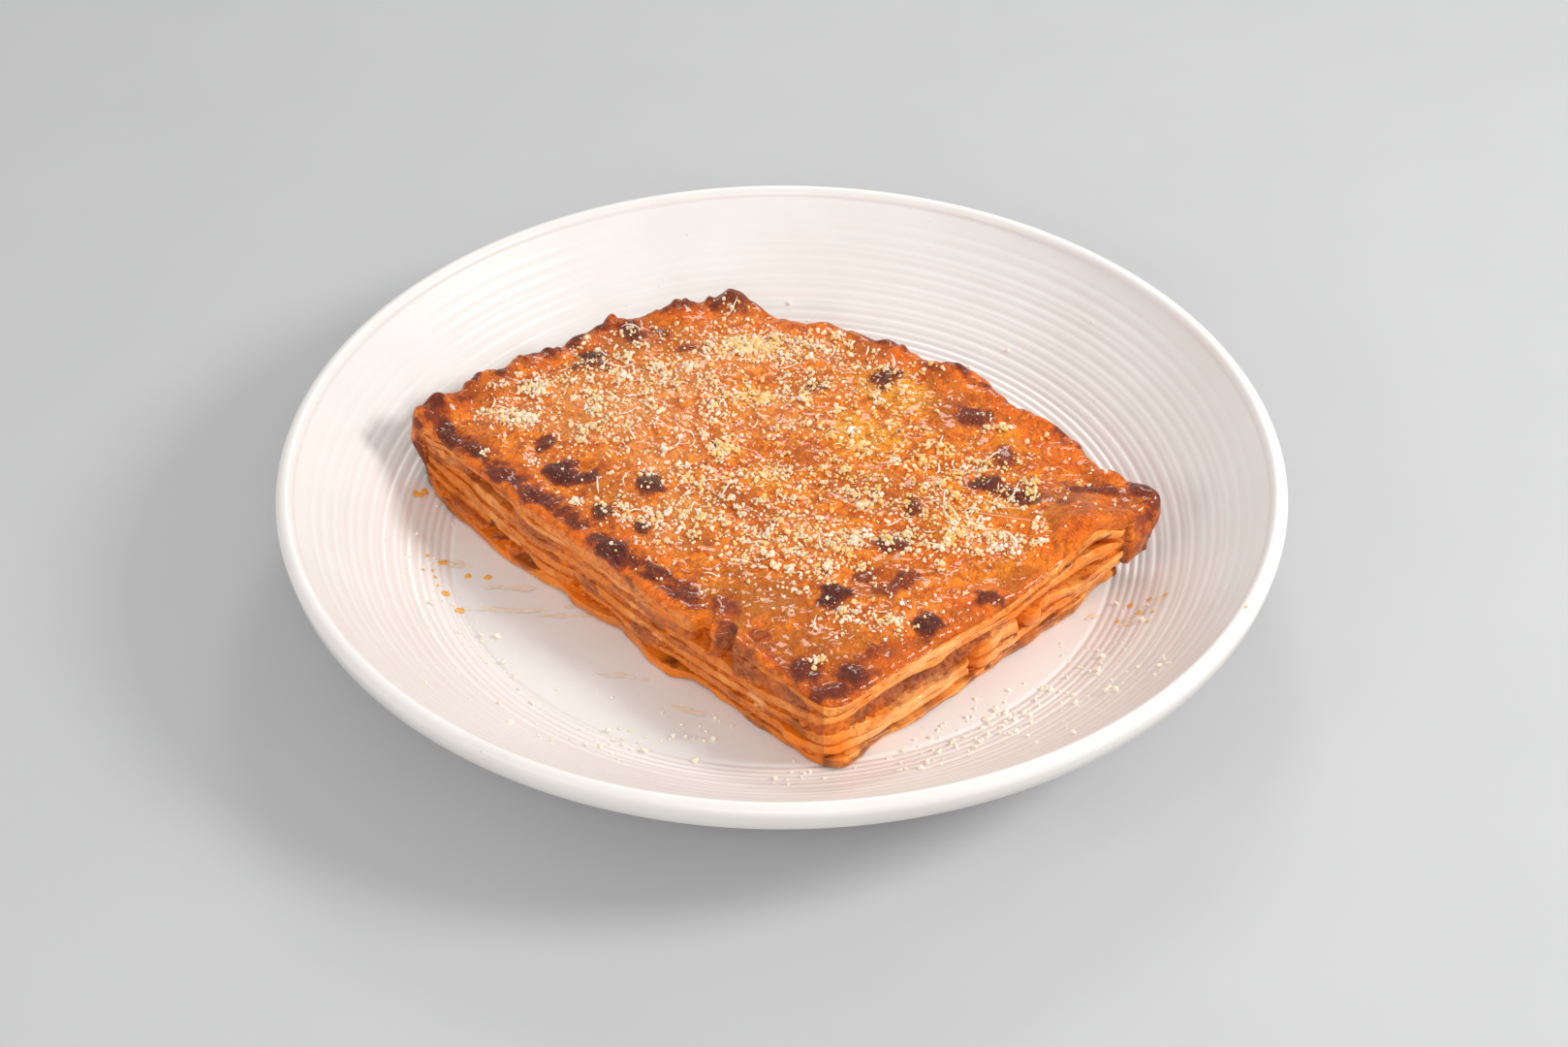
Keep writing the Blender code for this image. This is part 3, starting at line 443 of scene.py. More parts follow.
SMEARS = (
    (-92, -14, 5.0, 1.6, 160), (-77, -24, 5.0, 1.4, 175), (-80, -33, 7.0, 0.7, 178),
    (-69, -33.5, 8.0, 0.7, 4), (-62, -36, 6.0, 0.6, 0), (-44, -60, 6, 0.7, 170),
    (-24, -74, 4, 0.7, 160), (94, -42, 1.0, 4.0, 150), (99, -38, 0.8, 4.5, 150),
    (86, -36, 2.6, 0.9, 40), (103, -36, 2.0, 1.0, 20),
)
DROP_SIDES = 28
# Rings of a drop from its edge: share of its reach and of its thickness
DROP_PROFILE = ((1.0, 0.0), (0.9, 0.6), (0.6, 1.0))
DROP_THICKNESS = 0.16
SMEAR_THICKNESS = 0.015
SMEAR_SIZES = (0.5, 1.4)
SMEAR_RISE = 0.012
SMEAR_LEVELS = 23

FLOOR_REACH = 8

# Colours
GLAZE = ((0.82, 0.785, 0.755), (0.85, 0.820, 0.795))
GLAZE_SPECK = (0.35, 0.33, 0.31)
PASTA = ((1.0, 0.43, 0.095), (0.88, 0.24, 0.022))
PASTA_COATING = ((0.51, 0.105, 0.006), (0.82, 0.240, 0.026))
PASTA_CREAM = (0.98, 0.48, 0.14)
PASTA_STAIN = (0.46, 0.088, 0.004)
PASTA_BROWN = (0.28, 0.07, 0.015)
RAGU = ((0.66, 0.150, 0.012), (0.46, 0.084, 0.005))
RAGU_MAUVE = (0.46, 0.150, 0.045)
RAGU_SAUCE = (0.83, 0.205, 0.010)
RAGU_DARK = (0.16, 0.03, 0.010)
MEAT = ((0.25, 0.050, 0.010), (0.46, 0.128, 0.036))
# The dark spot colour is painted shade, and the cream one is partly painted highlight
SPOT_COLOURS = (
    ("sauce", (0.90, 0.215, 0.006), 0.8),
    ("cream_and_highlight", (0.98, 0.52, 0.20), 0.8),
    ("painted_shade", (0.13, 0.022, 0.007), 0.9),
)
CRUST = ((0.64, 0.112, 0.002), (1.0, 0.280, 0.010))
CRUST_RED = (0.97, 0.165, 0.004)
# The tan tone is partly painted sheen
CRUST_TONES = (
    ("gold", (1.0, 0.41, 0.015), 0.95),
    ("tan_and_sheen", (0.93, 0.34, 0.085), 0.8),
    ("olive", (0.48, 0.135, 0.008), 0.9),
    ("brown", (0.37, 0.066, 0.002), 0.9),
)
CRUST_PATCH = (0.36, 0.068, 0.003)
CRUST_FRECKLE = (0.34, 0.055, 0.003)
CRUST_BURNS = (
    (0.45, 0.90, (0.32, 0.048, 0.005)),
    (0.80, 1.20, (0.165, 0.024, 0.006)),
    (1.15, 1.60, (0.050, 0.009, 0.006)),
)
# Pale specks on the crust's top, partly painted glints
CRUST_SPECK_AND_GLINT = (1.0, 0.64, 0.32)
CRUST_POWDER = (0.98, 0.65, 0.32)
CHEESE = ((1.0, 0.90, 0.77), (1.0, 0.72, 0.42))
CHEESE_GOLDEN = (0.96, 0.58, 0.16)
OIL = ((0.86, 0.79, 0.70), (0.90, 0.44, 0.08))
FLOOR = ((0.52, 0.53, 0.545), (0.55, 0.56, 0.575))
MOIST = {"Specular IOR Level": 0.18, "Coat Weight": 0.3, "Coat Roughness": 0.08}

# Lights: name, place, size, power and colour
WARM_WHITE = (1, 0.985, 0.97)
LIGHT_TARGET = (0, 0, 0.02)
LIGHTS = (
    ("key", (0.85, -0.10, 0.62), 0.32, 6.2, (1, 0.985, 0.965)),
    ("back", (0.10, 0.90, 0.75), 0.30, 2.2, WARM_WHITE),
    ("left", (-0.80, -0.60, 0.55), 0.4, 1.6, WARM_WHITE),
    ("front", (0.0, -1.0, 0.75), 0.5, 3.0, WARM_WHITE),
)
WORLD_STRENGTH = 0.60
CAMERA_PLACE = (0.000595, -0.576149, 0.484947)
CAMERA_TILT = 50.595
CAMERA_LENS = 60
CAMERA_SENSOR = 36

SEED = 11


# Repeatable noise

def lattice(x, y, z, seed):
    """One repeatable value from -1 to 1 for each whole-number point."""
    h = (x * 73856093) ^ (y * 19349663) ^ (z * 83492791) ^ (seed * 265443576)
    h = ((h ^ (h >> 13)) * 1274126177) & 0x7FFFFFFF
    h = ((h ^ (h >> 16)) * 69069) & 0x7FFFFFFF
    return h / 0x3FFFFFFF - 1


def smooth(share):
    return share * share * (3 - 2 * share)


def noise(x, y, z=0.0, seed=0):
    """Smooth noise from -1 to 1, with features one unit across. It takes arrays."""
    place = np.broadcast_arrays(*(np.asarray(value, float) for value in (x, y, z)))
    corner = [np.floor(value).astype(np.int64) for value in place]
    share = [smooth(value - low) for value, low in zip(place, corner)]
    total = np.zeros(place[0].shape)
    for dx, dy, dz in itertools.product((0, 1), repeat=3):
        weight = (
            (share[0] if dx else 1 - share[0])
            * (share[1] if dy else 1 - share[1])
            * (share[2] if dz else 1 - share[2])
        )
        total += weight * lattice(corner[0] + dx, corner[1] + dy, corner[2] + dz, seed)
    return total


def fractal(x, y, z=0.0, seed=0, octaves=3):
    """Noise with finer and weaker noise added to it."""
    total = 0
    for octave in range(octaves):
        finer = 2.03**octave
        total = total + noise(x * finer, y * finer, z * finer, seed + 31 * octave) / 2**octave
    return total


def cells(x, y, z, seed):
    """Distances to the nearest and the next of scattered points, one to each unit cell."""
    place = np.stack(np.broadcast_arrays(x, y, z), -1)
    corner = np.floor(place).astype(np.int64)
    nearest = np.full(place.shape[:-1], 9.0)
    second = nearest.copy()
    for shift in itertools.product((-1, 0, 1), repeat=3):
        cell = corner + shift
        jitter = [lattice(cell[..., 0], cell[..., 1], cell[..., 2], seed + k) for k in range(3)]
        point = cell + (np.stack(jitter, -1) + 1) / 2
        distance = np.linalg.norm(place - point, axis=-1)
        second = np.minimum(second, np.maximum(nearest, distance))
        nearest = np.minimum(nearest, distance)
    return nearest, second


# Meshes

def new_piece(name, points, faces, finish, node=None, smooth_shade=True, values=None):
    """Adds a mesh that rides on the object, with named values at its points."""
    mesh = bpy.data.meshes.new(name)
    mesh.from_pydata(np.asarray(points).tolist(), [], faces)
    mesh.validate()
    if smooth_shade:
        mesh.shade_smooth()
    for key, numbers in (values or {}).items():
        attribute = mesh.attributes.new(key, "FLOAT", "POINT")
        attribute.data.foreach_set("value", np.asarray(numbers, np.float32))
    mesh.materials.append(finish)
    piece = bpy.data.objects.new(name, mesh)
    bpy.context.scene.collection.objects.link(piece)
    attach(piece, "root")
    if node:
        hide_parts(node)
    return piece


def band_faces(rows, columns, first=0):
    """Quads between closed rings of points, each ring following the last."""
    i = np.arange(columns)
    j = (i + 1) % columns
    low = first + np.arange(rows - 1)[:, None] * columns
    quads = np.stack([low + i, low + j, low + columns + j, low + columns + i], -1)
    return quads.reshape(-1, 4).tolist()


def fan_faces(start, columns, peak, up):
    """Triangles from a ring to one point in its middle."""
    i = start + np.arange(columns)
    j = start + (np.arange(columns) + 1) % columns
    return [(int(a), int(b), peak) if up else (int(b), int(a), peak) for a, b in zip(i, j)]


# Plate

def wall_height(radius):
    """Height of the plate's upper surface over the table, at the crests of its ribs."""
    run = PLATE_RADIUS - LIP_WIDTH - WELL_RADIUS
    rise = PLATE_HEIGHT - LIP_WIDTH / 2 - WELL_HEIGHT
    share = np.clip((np.asarray(radius, float) - WELL_RADIUS) / run, 0, None)
    return WELL_HEIGHT + rise * share**WALL_CURVE


def groove_depth(radius):
    depth = np.zeros_like(radius)
    for middle, half_width, deep in GROOVES:
        depth += deep * MM * np.exp(-(((radius / MM - middle) / half_width) ** 2) * 1.4)
    return depth


def plate_profile():
    """(radius, height) from the middle of the well, over the lip and back under the foot."""
    well = [(radius * MM, WELL_HEIGHT) for radius in WELL_RINGS]
    wall = np.arange(WALL_START, PLATE_RADIUS - LIP_WIDTH, WALL_STEP)
    wall_z = wall_height(wall) - groove_depth(wall)
    lip = LIP_WIDTH / 2
    turn = np.linspace(math.pi, 0, LIP_STEPS)[1:]
    lip_points = zip(PLATE_RADIUS - lip + lip * np.cos(turn), PLATE_HEIGHT - lip + lip * np.sin(turn))
    under = []
    for radius in np.linspace(PLATE_RADIUS - LIP_WIDTH, WELL_RADIUS + MM, UNDERSIDE_STEPS):
        lean = math.atan2(float(wall_height(radius) - wall_height(radius - MM)), MM)
        height = float(wall_height(radius)) - WALL_THICKNESS * math.cos(lean)
        under.append((radius + WALL_THICKNESS * math.sin(lean), height))
    foot = [
        (FOOT_RADIUS + FOOT_DRAFT, FOOT_HEIGHT / 2),
        (FOOT_RADIUS + 0.4 * FOOT_DRAFT, 0.2 * FOOT_HEIGHT),
        (FOOT_RADIUS - FOOT_EDGE, 0),
        (FOOT_RADIUS - FOOT_WIDTH + FOOT_EDGE, 0),
        (FOOT_RADIUS - FOOT_WIDTH - 0.4 * FOOT_DRAFT, 0.2 * FOOT_HEIGHT),
        (FOOT_RADIUS - FOOT_WIDTH - FOOT_DRAFT, FOOT_HEIGHT),
        (WELL_RINGS[1] * MM, FOOT_HEIGHT),
        (WELL_RINGS[0] * MM, FOOT_HEIGHT),
    ]
    return np.array(well + list(zip(wall, wall_z)) + list(lip_points) + under + foot)


def make_plate(finish):
    profile = plate_profile()
    angle = 2 * math.pi * np.arange(PLATE_SEGMENTS) / PLATE_SEGMENTS
    # Each ridge wanders a little, as it does on a plate thrown by hand.
    first = int(np.argmax(profile[:, 0] > WELL_RADIUS))
    last = int(np.argmax(profile[:, 0] > PLATE_RADIUS - LIP_WIDTH)) - 1
    on_wall = np.zeros((len(profile), 1))
    on_wall[first:last, 0] = 1
    share = np.linspace(0, 1, last - first)[:, None]
    wander = np.zeros((len(profile), PLATE_SEGMENTS))
    wander[first:last] = noise(2 * np.cos(angle), 2 * np.sin(angle), share * 14, 41)
    wander[first:last] *= RIDGE_WANDER * smooth(np.clip(8 * np.minimum(share, 1 - share), 0, 1))
    radius = profile[:, :1] + wander
    walled = wall_height(radius) - groove_depth(profile[:, :1])
    height = np.where(on_wall > 0, walled, profile[:, 1:])
    level = height * np.ones_like(radius)
    rings = np.stack([radius * np.cos(angle), radius * np.sin(angle), level], -1)
    points = np.concatenate([rings.reshape(-1, 3), [(0, 0, WELL_HEIGHT), (0, 0, FOOT_HEIGHT)]])
    rows = len(profile)
    faces = [quad[::-1] for quad in band_faces(rows, PLATE_SEGMENTS)]
    faces += fan_faces(0, PLATE_SEGMENTS, rows * PLATE_SEGMENTS, True)
    faces += fan_faces((rows - 1) * PLATE_SEGMENTS, PLATE_SEGMENTS, rows * PLATE_SEGMENTS + 1, False)
    return new_piece("plate_glazed", points, faces, finish, "plate")


# Outlines of the slice seen from above

def centre():
    return CORNERS.mean(axis=0)


def inset_corners():
    """Corners of the stack, which stands inside the crust on the two back sides."""
    insets = (0, 0, RIGHT_CRUST, LEFT_CRUST)
    lines = []
    for side, inset in enumerate(insets):
        along = CORNERS[(side + 1) % 4] - CORNERS[side]
        inward = np.array([-along[1], along[0]]) / np.linalg.norm(along)
        lines.append((CORNERS[side] + inward * inset, along))
    found = []
    for side in range(4):
        (start_a, along_a), (start_b, along_b) = lines[side - 1], lines[side]
        share = np.linalg.solve(np.column_stack([along_a, -along_b]), start_b - start_a)[0]
        found.append(start_a + along_a * share)
    return np.array(found)


STACK_CORNERS = inset_corners()
STACK_SHAPE = (np.arange(4.0), STACK_CORNERS, BOWS, CORNER_ROUNDING)


def crust_shape():
    """Stations, places, bows and roundings of the crust's corners."""
    (right, right_rounding), (left, left_rounding) = CRUST_FOLDS
    knots = np.array([0, 1, 2, right, 3, left])
    corners = np.array([
        STACK_CORNERS[0], CORNERS[1], STACK_CORNERS[2], CORNERS[2], CORNERS[3], CORNERS[0],
    ])
    bows = np.array([BOWS[0], BOWS[1], 0, BOWS[2], BOWS[3], 0])
    rounding = (
        left_rounding, CORNER_ROUNDING[1], right_rounding, right_rounding, CORNER_ROUNDING[3],
        left_rounding,
    )
    return knots, corners, bows, rounding


def sharp_outline(t, shape):
    """Places on the bowed sides, with sharp corners."""
    knots, corners, bows, _ = shape
    t = np.mod(t, 4)
    side = np.searchsorted(knots, t, side="right") - 1
    ends = np.append(knots[1:], 4)
    share = ((t - knots[side]) / (ends[side] - knots[side]))[..., None]
    start = corners[side]
    along = corners[(side + 1) % len(corners)] - start
    outward = np.stack([along[..., 1], -along[..., 0]], -1)
    outward /= np.linalg.norm(outward, axis=-1, keepdims=True)
    return start + along * share + outward * bows[side][..., None] * np.sin(math.pi * share)


def outline(t, shape):
    """The bowed sides with their corners rounded, as a running average, and a wobble."""
    knots, _, _, roundings = shape
    apart = np.abs(np.mod(t, 4)[:, None] - np.append(knots, 4))
    closest = apart.argmin(axis=1)
    rounding = np.append(roundings, roundings[0])[closest]
    # Away from the corners the average changes nothing, so its width may blend from one to the next.
    rounding = np.where(apart.min(axis=1) < rounding, rounding, 0.012)
    shifts = np.linspace(-1, 1, 11)
    plan = sum(sharp_outline(t + shift * rounding, shape) for shift in shifts) / len(shifts)
    wobble = [noise(*(plan / WOBBLE_SIZE).T, seed=seed) for seed in (7, 8)]
    return plan + WOBBLE * np.column_stack(wobble)


def outward_of(plan):
    """Unit vectors that point out of a closed ring of places."""
    along = np.roll(plan, -2, axis=0) - np.roll(plan, 2, axis=0)
    normal = np.stack([along[:, 1], -along[:, 0]], -1)
    return normal / np.linalg.norm(normal, axis=1, keepdims=True)


def moved_in(plan, distance):
    """Places moved towards the slice's middle."""
    inward = centre() - plan
    inward = inward / np.linalg.norm(inward, axis=1, keepdims=True)
    return plan + inward * np.reshape(distance, (-1, 1))


def stations(counts):
    return np.concatenate([side + np.arange(count) / count for side, count in enumerate(counts)])


def side_length(side):
    """Length of one side of the stack in millimetres."""
    return np.linalg.norm(STACK_CORNERS[(side + 1) % 4] - STACK_CORNERS[side]) / MM


def cut_side(t):
    """Number of the cut side, 0 or 1, that each station lies on or beside."""
    return np.clip(np.floor(t), 0, 1).astype(int)


def is_back(t):
    return (t > 2.001) & (t < 3.999)


def cut_share(t):
    """1 on the cut sides and 0 on the back ones."""
    return np.clip(np.minimum(t, 2 - t) / 0.02, 0, 1) * (t < 2)


def side_distance(x, y, side):
    """How far inside one side of the slice a place lies, and its share of the way along it."""
    along = CORNERS[(side + 1) % 4] - CORNERS[side]
    length = np.linalg.norm(along)
    inward = np.array([-along[1], along[0]]) / length
    offset = np.stack([x, y], -1) - CORNERS[side]
    share = np.clip(offset @ along / length**2, 0, 1)
    return offset @ inward + BOWS[side] * np.sin(math.pi * share), share


# Heights

def base_height(x, y):
    """The slice rests on the plate and bends up with its wall. Its right tip stands clear."""
    from_tip = np.hypot(x - CORNERS[2][0], y - CORNERS[2][1]) / TIP_REACH
    lift = TIP_LIFT * smooth(np.clip(1 - from_tip, 0, 1))
    return wall_height(np.hypot(x, y)) + GAP + lift


def rim_share(x, y):
    """1 on the back edges of the crust, where it stands up, and 0 away from them."""
    share = 0
    for side in (2, 3):
        distance, _ = side_distance(x, y, side)
        share = np.maximum(share, 1 - np.clip(distance / RIM_REACH, 0, 1))
    return smooth(share)


def swell(x, y):
    return THICK_MIDDLE - THIN_EDGE * (np.hypot(x, y) / SLICE_REACH) ** THINNING


def top_height(x, y):
    """The crust's main form."""
    whole = sum(thickness for _, thickness in LAYERS)
    relief = TOP_RELIEF * noise(x / TOP_RELIEF_SIZE, y / TOP_RELIEF_SIZE, seed=2)
    height = wall_height(np.hypot(x, y)) + len(LAYERS) * GAP + whole * swell(x, y) + relief
    height = height + RIM_HEIGHT * rim_share(x, y)
    for form_x, form_y, radius, rise in FORMS:
        reach = np.hypot(x / MM - form_x, y / MM - form_y) / radius
        height = height + rise * MM * np.exp(-2 * reach**2)
    return height


def warped(x, y):
    """Places shifted a little, so that round forms turn ragged, in millimetres."""
    x, y = x / MM, y / MM
    shifts = [RAGGEDNESS * fractal(x / RAGGED_SIZE, y / RAGGED_SIZE, 0, seed, 2) for seed in (44, 47)]
    return x + shifts[0], y + shifts[1]


def blister_reach(x, y, blister):
    """0 in the middle of a blister and 1 on its edge, from places in millimetres."""
    middle_x, middle_y, along, across, turn, _ = blister
    turn = math.radians(turn)
    dx = x - middle_x
    dy = y - middle_y
    u = (dx * math.cos(turn) + dy * math.sin(turn)) / along
    v = (dy * math.cos(turn) - dx * math.sin(turn)) / across
    return np.hypot(u, v)


def fine_relief(x, y):
    """Lumps, bubbles and blisters on the crust."""
    relief = 0
    for height, size, seed in CRUST_LUMPS:
        relief = relief + height * fractal(x / size, y / size, 0, seed, 2)
    crag = np.maximum(fractal(x / CRAG_SIZE, y / CRAG_SIZE, 0, 54, 2), 0)
    left_rim, _ = side_distance(x, y, 3)
    craggy = smooth(np.clip(1 - left_rim / CRAG_REACH, 0, 1)) + CRAG_ON_RIM * rim_share(x, y)
    relief += CRAG_HEIGHT * crag * craggy
    bubbles, _ = cells(x / BUBBLE_SIZE, y / BUBBLE_SIZE, 0.5, 56)
    ragged_x, ragged_y = warped(x, y)
    for blister in BLISTERS:
        dome = np.clip(1 - blister_reach(ragged_x, ragged_y, blister) ** 2, 0, 1)
        rise = BLISTER_HEIGHT * min(blister[2], blister[3]) * MM * blister[5]
        relief += rise * dome + BUBBLE_HEIGHT * dome * (0.6 - bubbles)
    return relief


def crust_top(x, y):
    return top_height(x, y) + fine_relief(x, y)


def plane_shift(t):
    """How much higher a place on a cut side lies than it seems on the plane of the side's ends."""
    side = cut_side(t)
    bow = BOWS[side] * np.sin(math.pi * np.clip(t - side, 0, 1))
    return PLANE_LEAN * (bow + EDGE_STANDOUT)


def layer_tops():
    """Stations and heights of the layers over the slice's underside, read from the table."""
    rows = []
    for side, distance, tops in LAYER_HEIGHTS:
        station = np.array([side + distance / side_length(side)])
        place = outline(station, STACK_SHAPE)
        base = base_height(*place.T)[0]
        limit = top_height(*place.T)[0] - LEAST_CRUST - base
        over = np.array((0, *tops)) * MM + plane_shift(station)[0] - base
        over[0] = 0
        rows.append((station[0], over * min(1, limit / over[-1])))
    even = np.cumsum([0] + [thickness + GAP for _, thickness in LAYERS[:-1]])
    rows += [(2.2, even), (3.8, even)]
    return np.array([row[0] for row in rows]), np.array([row[1] for row in rows])


TOP_STATIONS, TOPS = layer_tops()


def interface(level, t):
    """Height of the underside of a layer over the underside of the slice."""
    total = 0
    shifts = np.linspace(-1, 1, 5) * HEIGHT_BLUR
    for shift in shifts:
        total = total + np.interp(np.mod(t + shift, 4), TOP_STATIONS, TOPS[:, level], period=4)
    return total / len(shifts)


def edge_shift(level, t):
    """How far the edge of a layer stands out or draws in."""
    total = np.zeros_like(t)
    for side, distance, half_width, first, last, shift in EDGE_SHIFTS:
        if first <= level <= last:
            length = side_length(side)
            apart = np.abs(t - side - distance / length) * length / half_width
            total += shift * MM * smooth(np.clip(1.4 * (1 - apart), 0, 1))
    return total


def interface_plan(level, t):
    """Where the meeting of two layers shows on the sides of the stack."""
    plan = outline(t, STACK_SHAPE)
    wander = EDGE_WANDER * noise(*(plan / EDGE_SIZE).T, level * LAYER_KINSHIP, seed=3)
    wander = np.where(cut_share(t) > 0, wander, np.minimum(wander, 0))
    return plan + outward_of(plan) * wander[:, None]


# Layers

def pasta_relief(points, level):
    """How far a sheet's edge stands out of its smooth form."""
    x, y, z = (points / MM).T
    folds = 0.55 * fractal(x / 6, y / 6, z / 4 + 0.4 * level, 60, 2)
    return MM * (folds + 0.08 * noise(x / 1.3, y / 1.3, z / 1.3, 61))


def filling_relief(points, level):
    """Lumps of meat with deep pores between them."""
    x, y, z = (points / MM).T
    bend = 1.6 * fractal(x / 3.5, y / 3.5, z / 3.5, 67, 2)
    nearest, second = cells((x + bend) / 3.1, (y - bend) / 3.1, (z + bend) / 2.4 + level, 62)
    lump = np.minimum(1.5 * (second - nearest), 0.62) + 0.5 * (0.5 - nearest)
    soft = smooth(np.clip(noise(x / 9, y / 9, level, 63) + 0.75, 0, 1))
    fine = 0.22 * fractal(x / 1.3, y / 1.3, z / 1.3, 64, 2)
    return MM * (soft * (1.5 * lump - 0.6) + fine + 0.3 * noise(x / 5, y / 5, z / 4, 65))


def make_layer(level, finish):
    """A pasta sheet or a filling, with a fine edge that bulges, dents and wanders."""
    name = LAYERS[level][0]
    is_pasta = name.startswith("pasta")
    t = stations(LAYER_POINTS)
    lower, upper = interface_plan(level, t), interface_plan(level + 1, t)
    low = interface(level, t) - (LAYER_OVERLAP if level else 0)
    high = np.maximum(interface(level + 1, t), low + LEAST_THICKNESS) + LAYER_OVERLAP
    least, most = PASTA_BULGE if is_pasta else FILLING_BULGE
    least = least * np.where(t < 1, LEFT_BULGES[0], 1)
    most = most * np.where(t < 1, LEFT_BULGES[1], 1)
    bulge = least + (most - least) * (noise(*(lower / EDGE_SIZE).T, seed=20 + level) + 1) / 2
    bulge = np.where(cut_share(t) > 0, bulge, np.minimum(bulge, 0) * BACK_BULGE)
    bulge = bulge + edge_shift(level, t)
    side = cut_side(t)
    tuck = PASTA_TUCKS[side] if is_pasta else FILLING_TUCK
    outward = outward_of((lower + upper) / 2)
    turns = np.linspace(-math.pi / 2, math.pi / 2, EDGE_ROWS + 1)
    profile = [(0, inset, 1) for inset in LAYER_INSETS]
    profile += [((1 + math.sin(turn)) / 2, 0, 1 - math.cos(turn)) for turn in turns]
    profile += [(1, inset, 1) for inset in LAYER_INSETS[::-1]]
    rows = []
    columns = len(t)
    for share, inset, tucked in profile:
        plan = lower * (1 - share) + upper * share
        plan = moved_in(plan + outward * bulge[:, None], (inset + tuck * tucked) * np.ones(columns))
        height = base_height(*plan.T) + low * (1 - share) + high * share
        points = np.column_stack([plan, height])
        relief = pasta_relief(points, level) if is_pasta else filling_relief(points, level)
        fade = np.clip(1 - inset / RELIEF_DEPTH, 0, 1) * cut_share(t)
        points[:, :2] += outward * (relief * fade)[:, None]
        rows.append(points)
    middle = float(base_height(*centre()))
    levels = TOPS[-1]
    peaks = [(*centre(), middle + levels[level]), (*centre(), middle + levels[level + 1])]
    points = np.concatenate(rows + [peaks])
    faces = band_faces(len(rows), columns)
    faces += fan_faces(0, columns, len(points) - 2, False)
    faces += fan_faces((len(rows) - 1) * columns, columns, len(points) - 1, True)
    values = face_values(np.append(np.tile(t, len(rows)), (3, 3)), points)
    values["brown"] = browning(level, t, len(rows))
    new_piece(f"{name}_cooked", points, faces, finish, name, values=values)


def face_values(t, points):
    """What shows at each point of the cut sides: meat, painted shade, sauce, cream with painted
    highlights and a coating.
    """
    x, y, z = (points / MM).T
    side = cut_side(t)
    lengths = np.array([side_length(0), side_length(1)])
    along = (t - side) * lengths[side] + 0.9 * fractal(x / 2.4, y / 2.4, z / 2.4, 66, 2)
    height = z - plane_shift(t) / MM + 0.5 * fractal(x / 2.4, y / 2.4, z / 2.4, 68, 2)
    on_cut = cut_share(t)
    found = {kind: np.zeros(len(points)) for kind in ("meat", "painted_shade", "sauce", "cream_and_highlight")}
    for (spot_side, kind), spots in FACE_SPOTS.items():
        on_side = on_cut * (side == spot_side)
        for middle, middle_z, half, half_z, strength in spots:
            reach = np.hypot((along - middle) / half, (height - middle_z) / half_z)
            shown = strength * smooth(np.clip(1.9 - 1.45 * reach, 0, 1)) * on_side
            found[kind] = np.maximum(found[kind], shown)
    found["coat"] = np.array(FACE_COATING)[side] * on_cut + (1 - on_cut)
    return found


def browning(level, t, rows):
    """How browned each point of a layer is: the bottom sheet most, where it juts out."""
    brown = 0.15 + 0.35 * noise(t * 22, level * 3.1, 0, 70)
    if level == 0:
        brown = 0.55 + 0.45 * noise(t * 30, 0, 0, 71)
    brown = brown + 0.3 * smooth(np.clip(1 - np.abs(np.mod(t + 2, 4) - 2) / 0.035, 0, 1))
    return np.append(np.tile(np.clip(brown, 0, 1), rows), (0, 0))


# Crust

def hem_height(plan):
    """Lower edge of the crust on the back sides, a little over the plate."""
    least, most = CRUST_HEM
    share = (noise(*(plan / EDGE_SIZE).T, seed=5) + 1) / 2
    return base_height(*plan.T) + least + (most - least) * share


def crust_rings(t):
    """Rings of the crust from its underside, round the hem and up to the edge of its top."""
    level = len(LAYERS) - 1
    back = is_back(t)
    inside = outline(t, STACK_SHAPE)
    inside = inside + outward_of(inside) * CRUST_CLEARANCE
    inside = np.where(back[:, None], inside, moved_in(interface_plan(level, t), CUT_OVERLAP))
    roof = base_height(*inside.T) + interface(level, t) + np.where(back, GAP, 0)
    plan = outline(t, crust_shape())
    normal = outward_of(plan)
    spread = np.where(back, CRUST_SPREAD, CUT_SPREAD)
    plan = plan + normal * (spread + edge_shift(level, t))[:, None]
    moved = np.interp(t - 2, *HEM_SHIFTS) * MM
    inner_hem = np.where(back, hem_height(inside) + moved, roof - CRUST_LIP)
    taper = np.interp(t - 2, *HEM_TAPERS)
    hem = plan + (inside - plan) * np.where(back, taper, 0)[:, None]
    cut_hem = base_height(*plan.T) + interface(level, t) - CRUST_LIP
    outer_hem = np.where(back, hem_height(hem) + moved, cut_hem)
    rings = [
        np.column_stack([moved_in(inside, ROOF_INSET), roof]),
        np.column_stack([inside, roof]),
        np.column_stack([inside, inner_hem]),
    ]
    edge = moved_in(plan, SHOULDER)
    top = crust_top(*edge.T)
    drop = np.minimum(SHOULDER, 0.75 * (top - outer_hem))
    for row in range(SKIRT_ROWS + 1):
        share = row / SKIRT_ROWS
        belly = math.sin(math.pi * share) * np.where(back, *BELLY)
        place = hem + (plan - hem) * smooth(np.minimum(1.4 * share, 1)) + normal * belly[:, None]
        height = outer_hem + (top - drop - outer_hem) * share
        points = np.column_stack([place, height])
        points[:, :2] += normal * (skirt_relief(points, back) * (1 - share**6))[:, None]
        rings.append(points)
    for row in range(1, SHOULDER_ROWS):
        turn = math.pi / 2 * row / SHOULDER_ROWS
        place = plan + (edge - plan) * (1 - math.cos(turn))
        height = top - drop * (1 - math.sin(turn))
        rings.append(np.column_stack([place, height]))
    return rings, edge


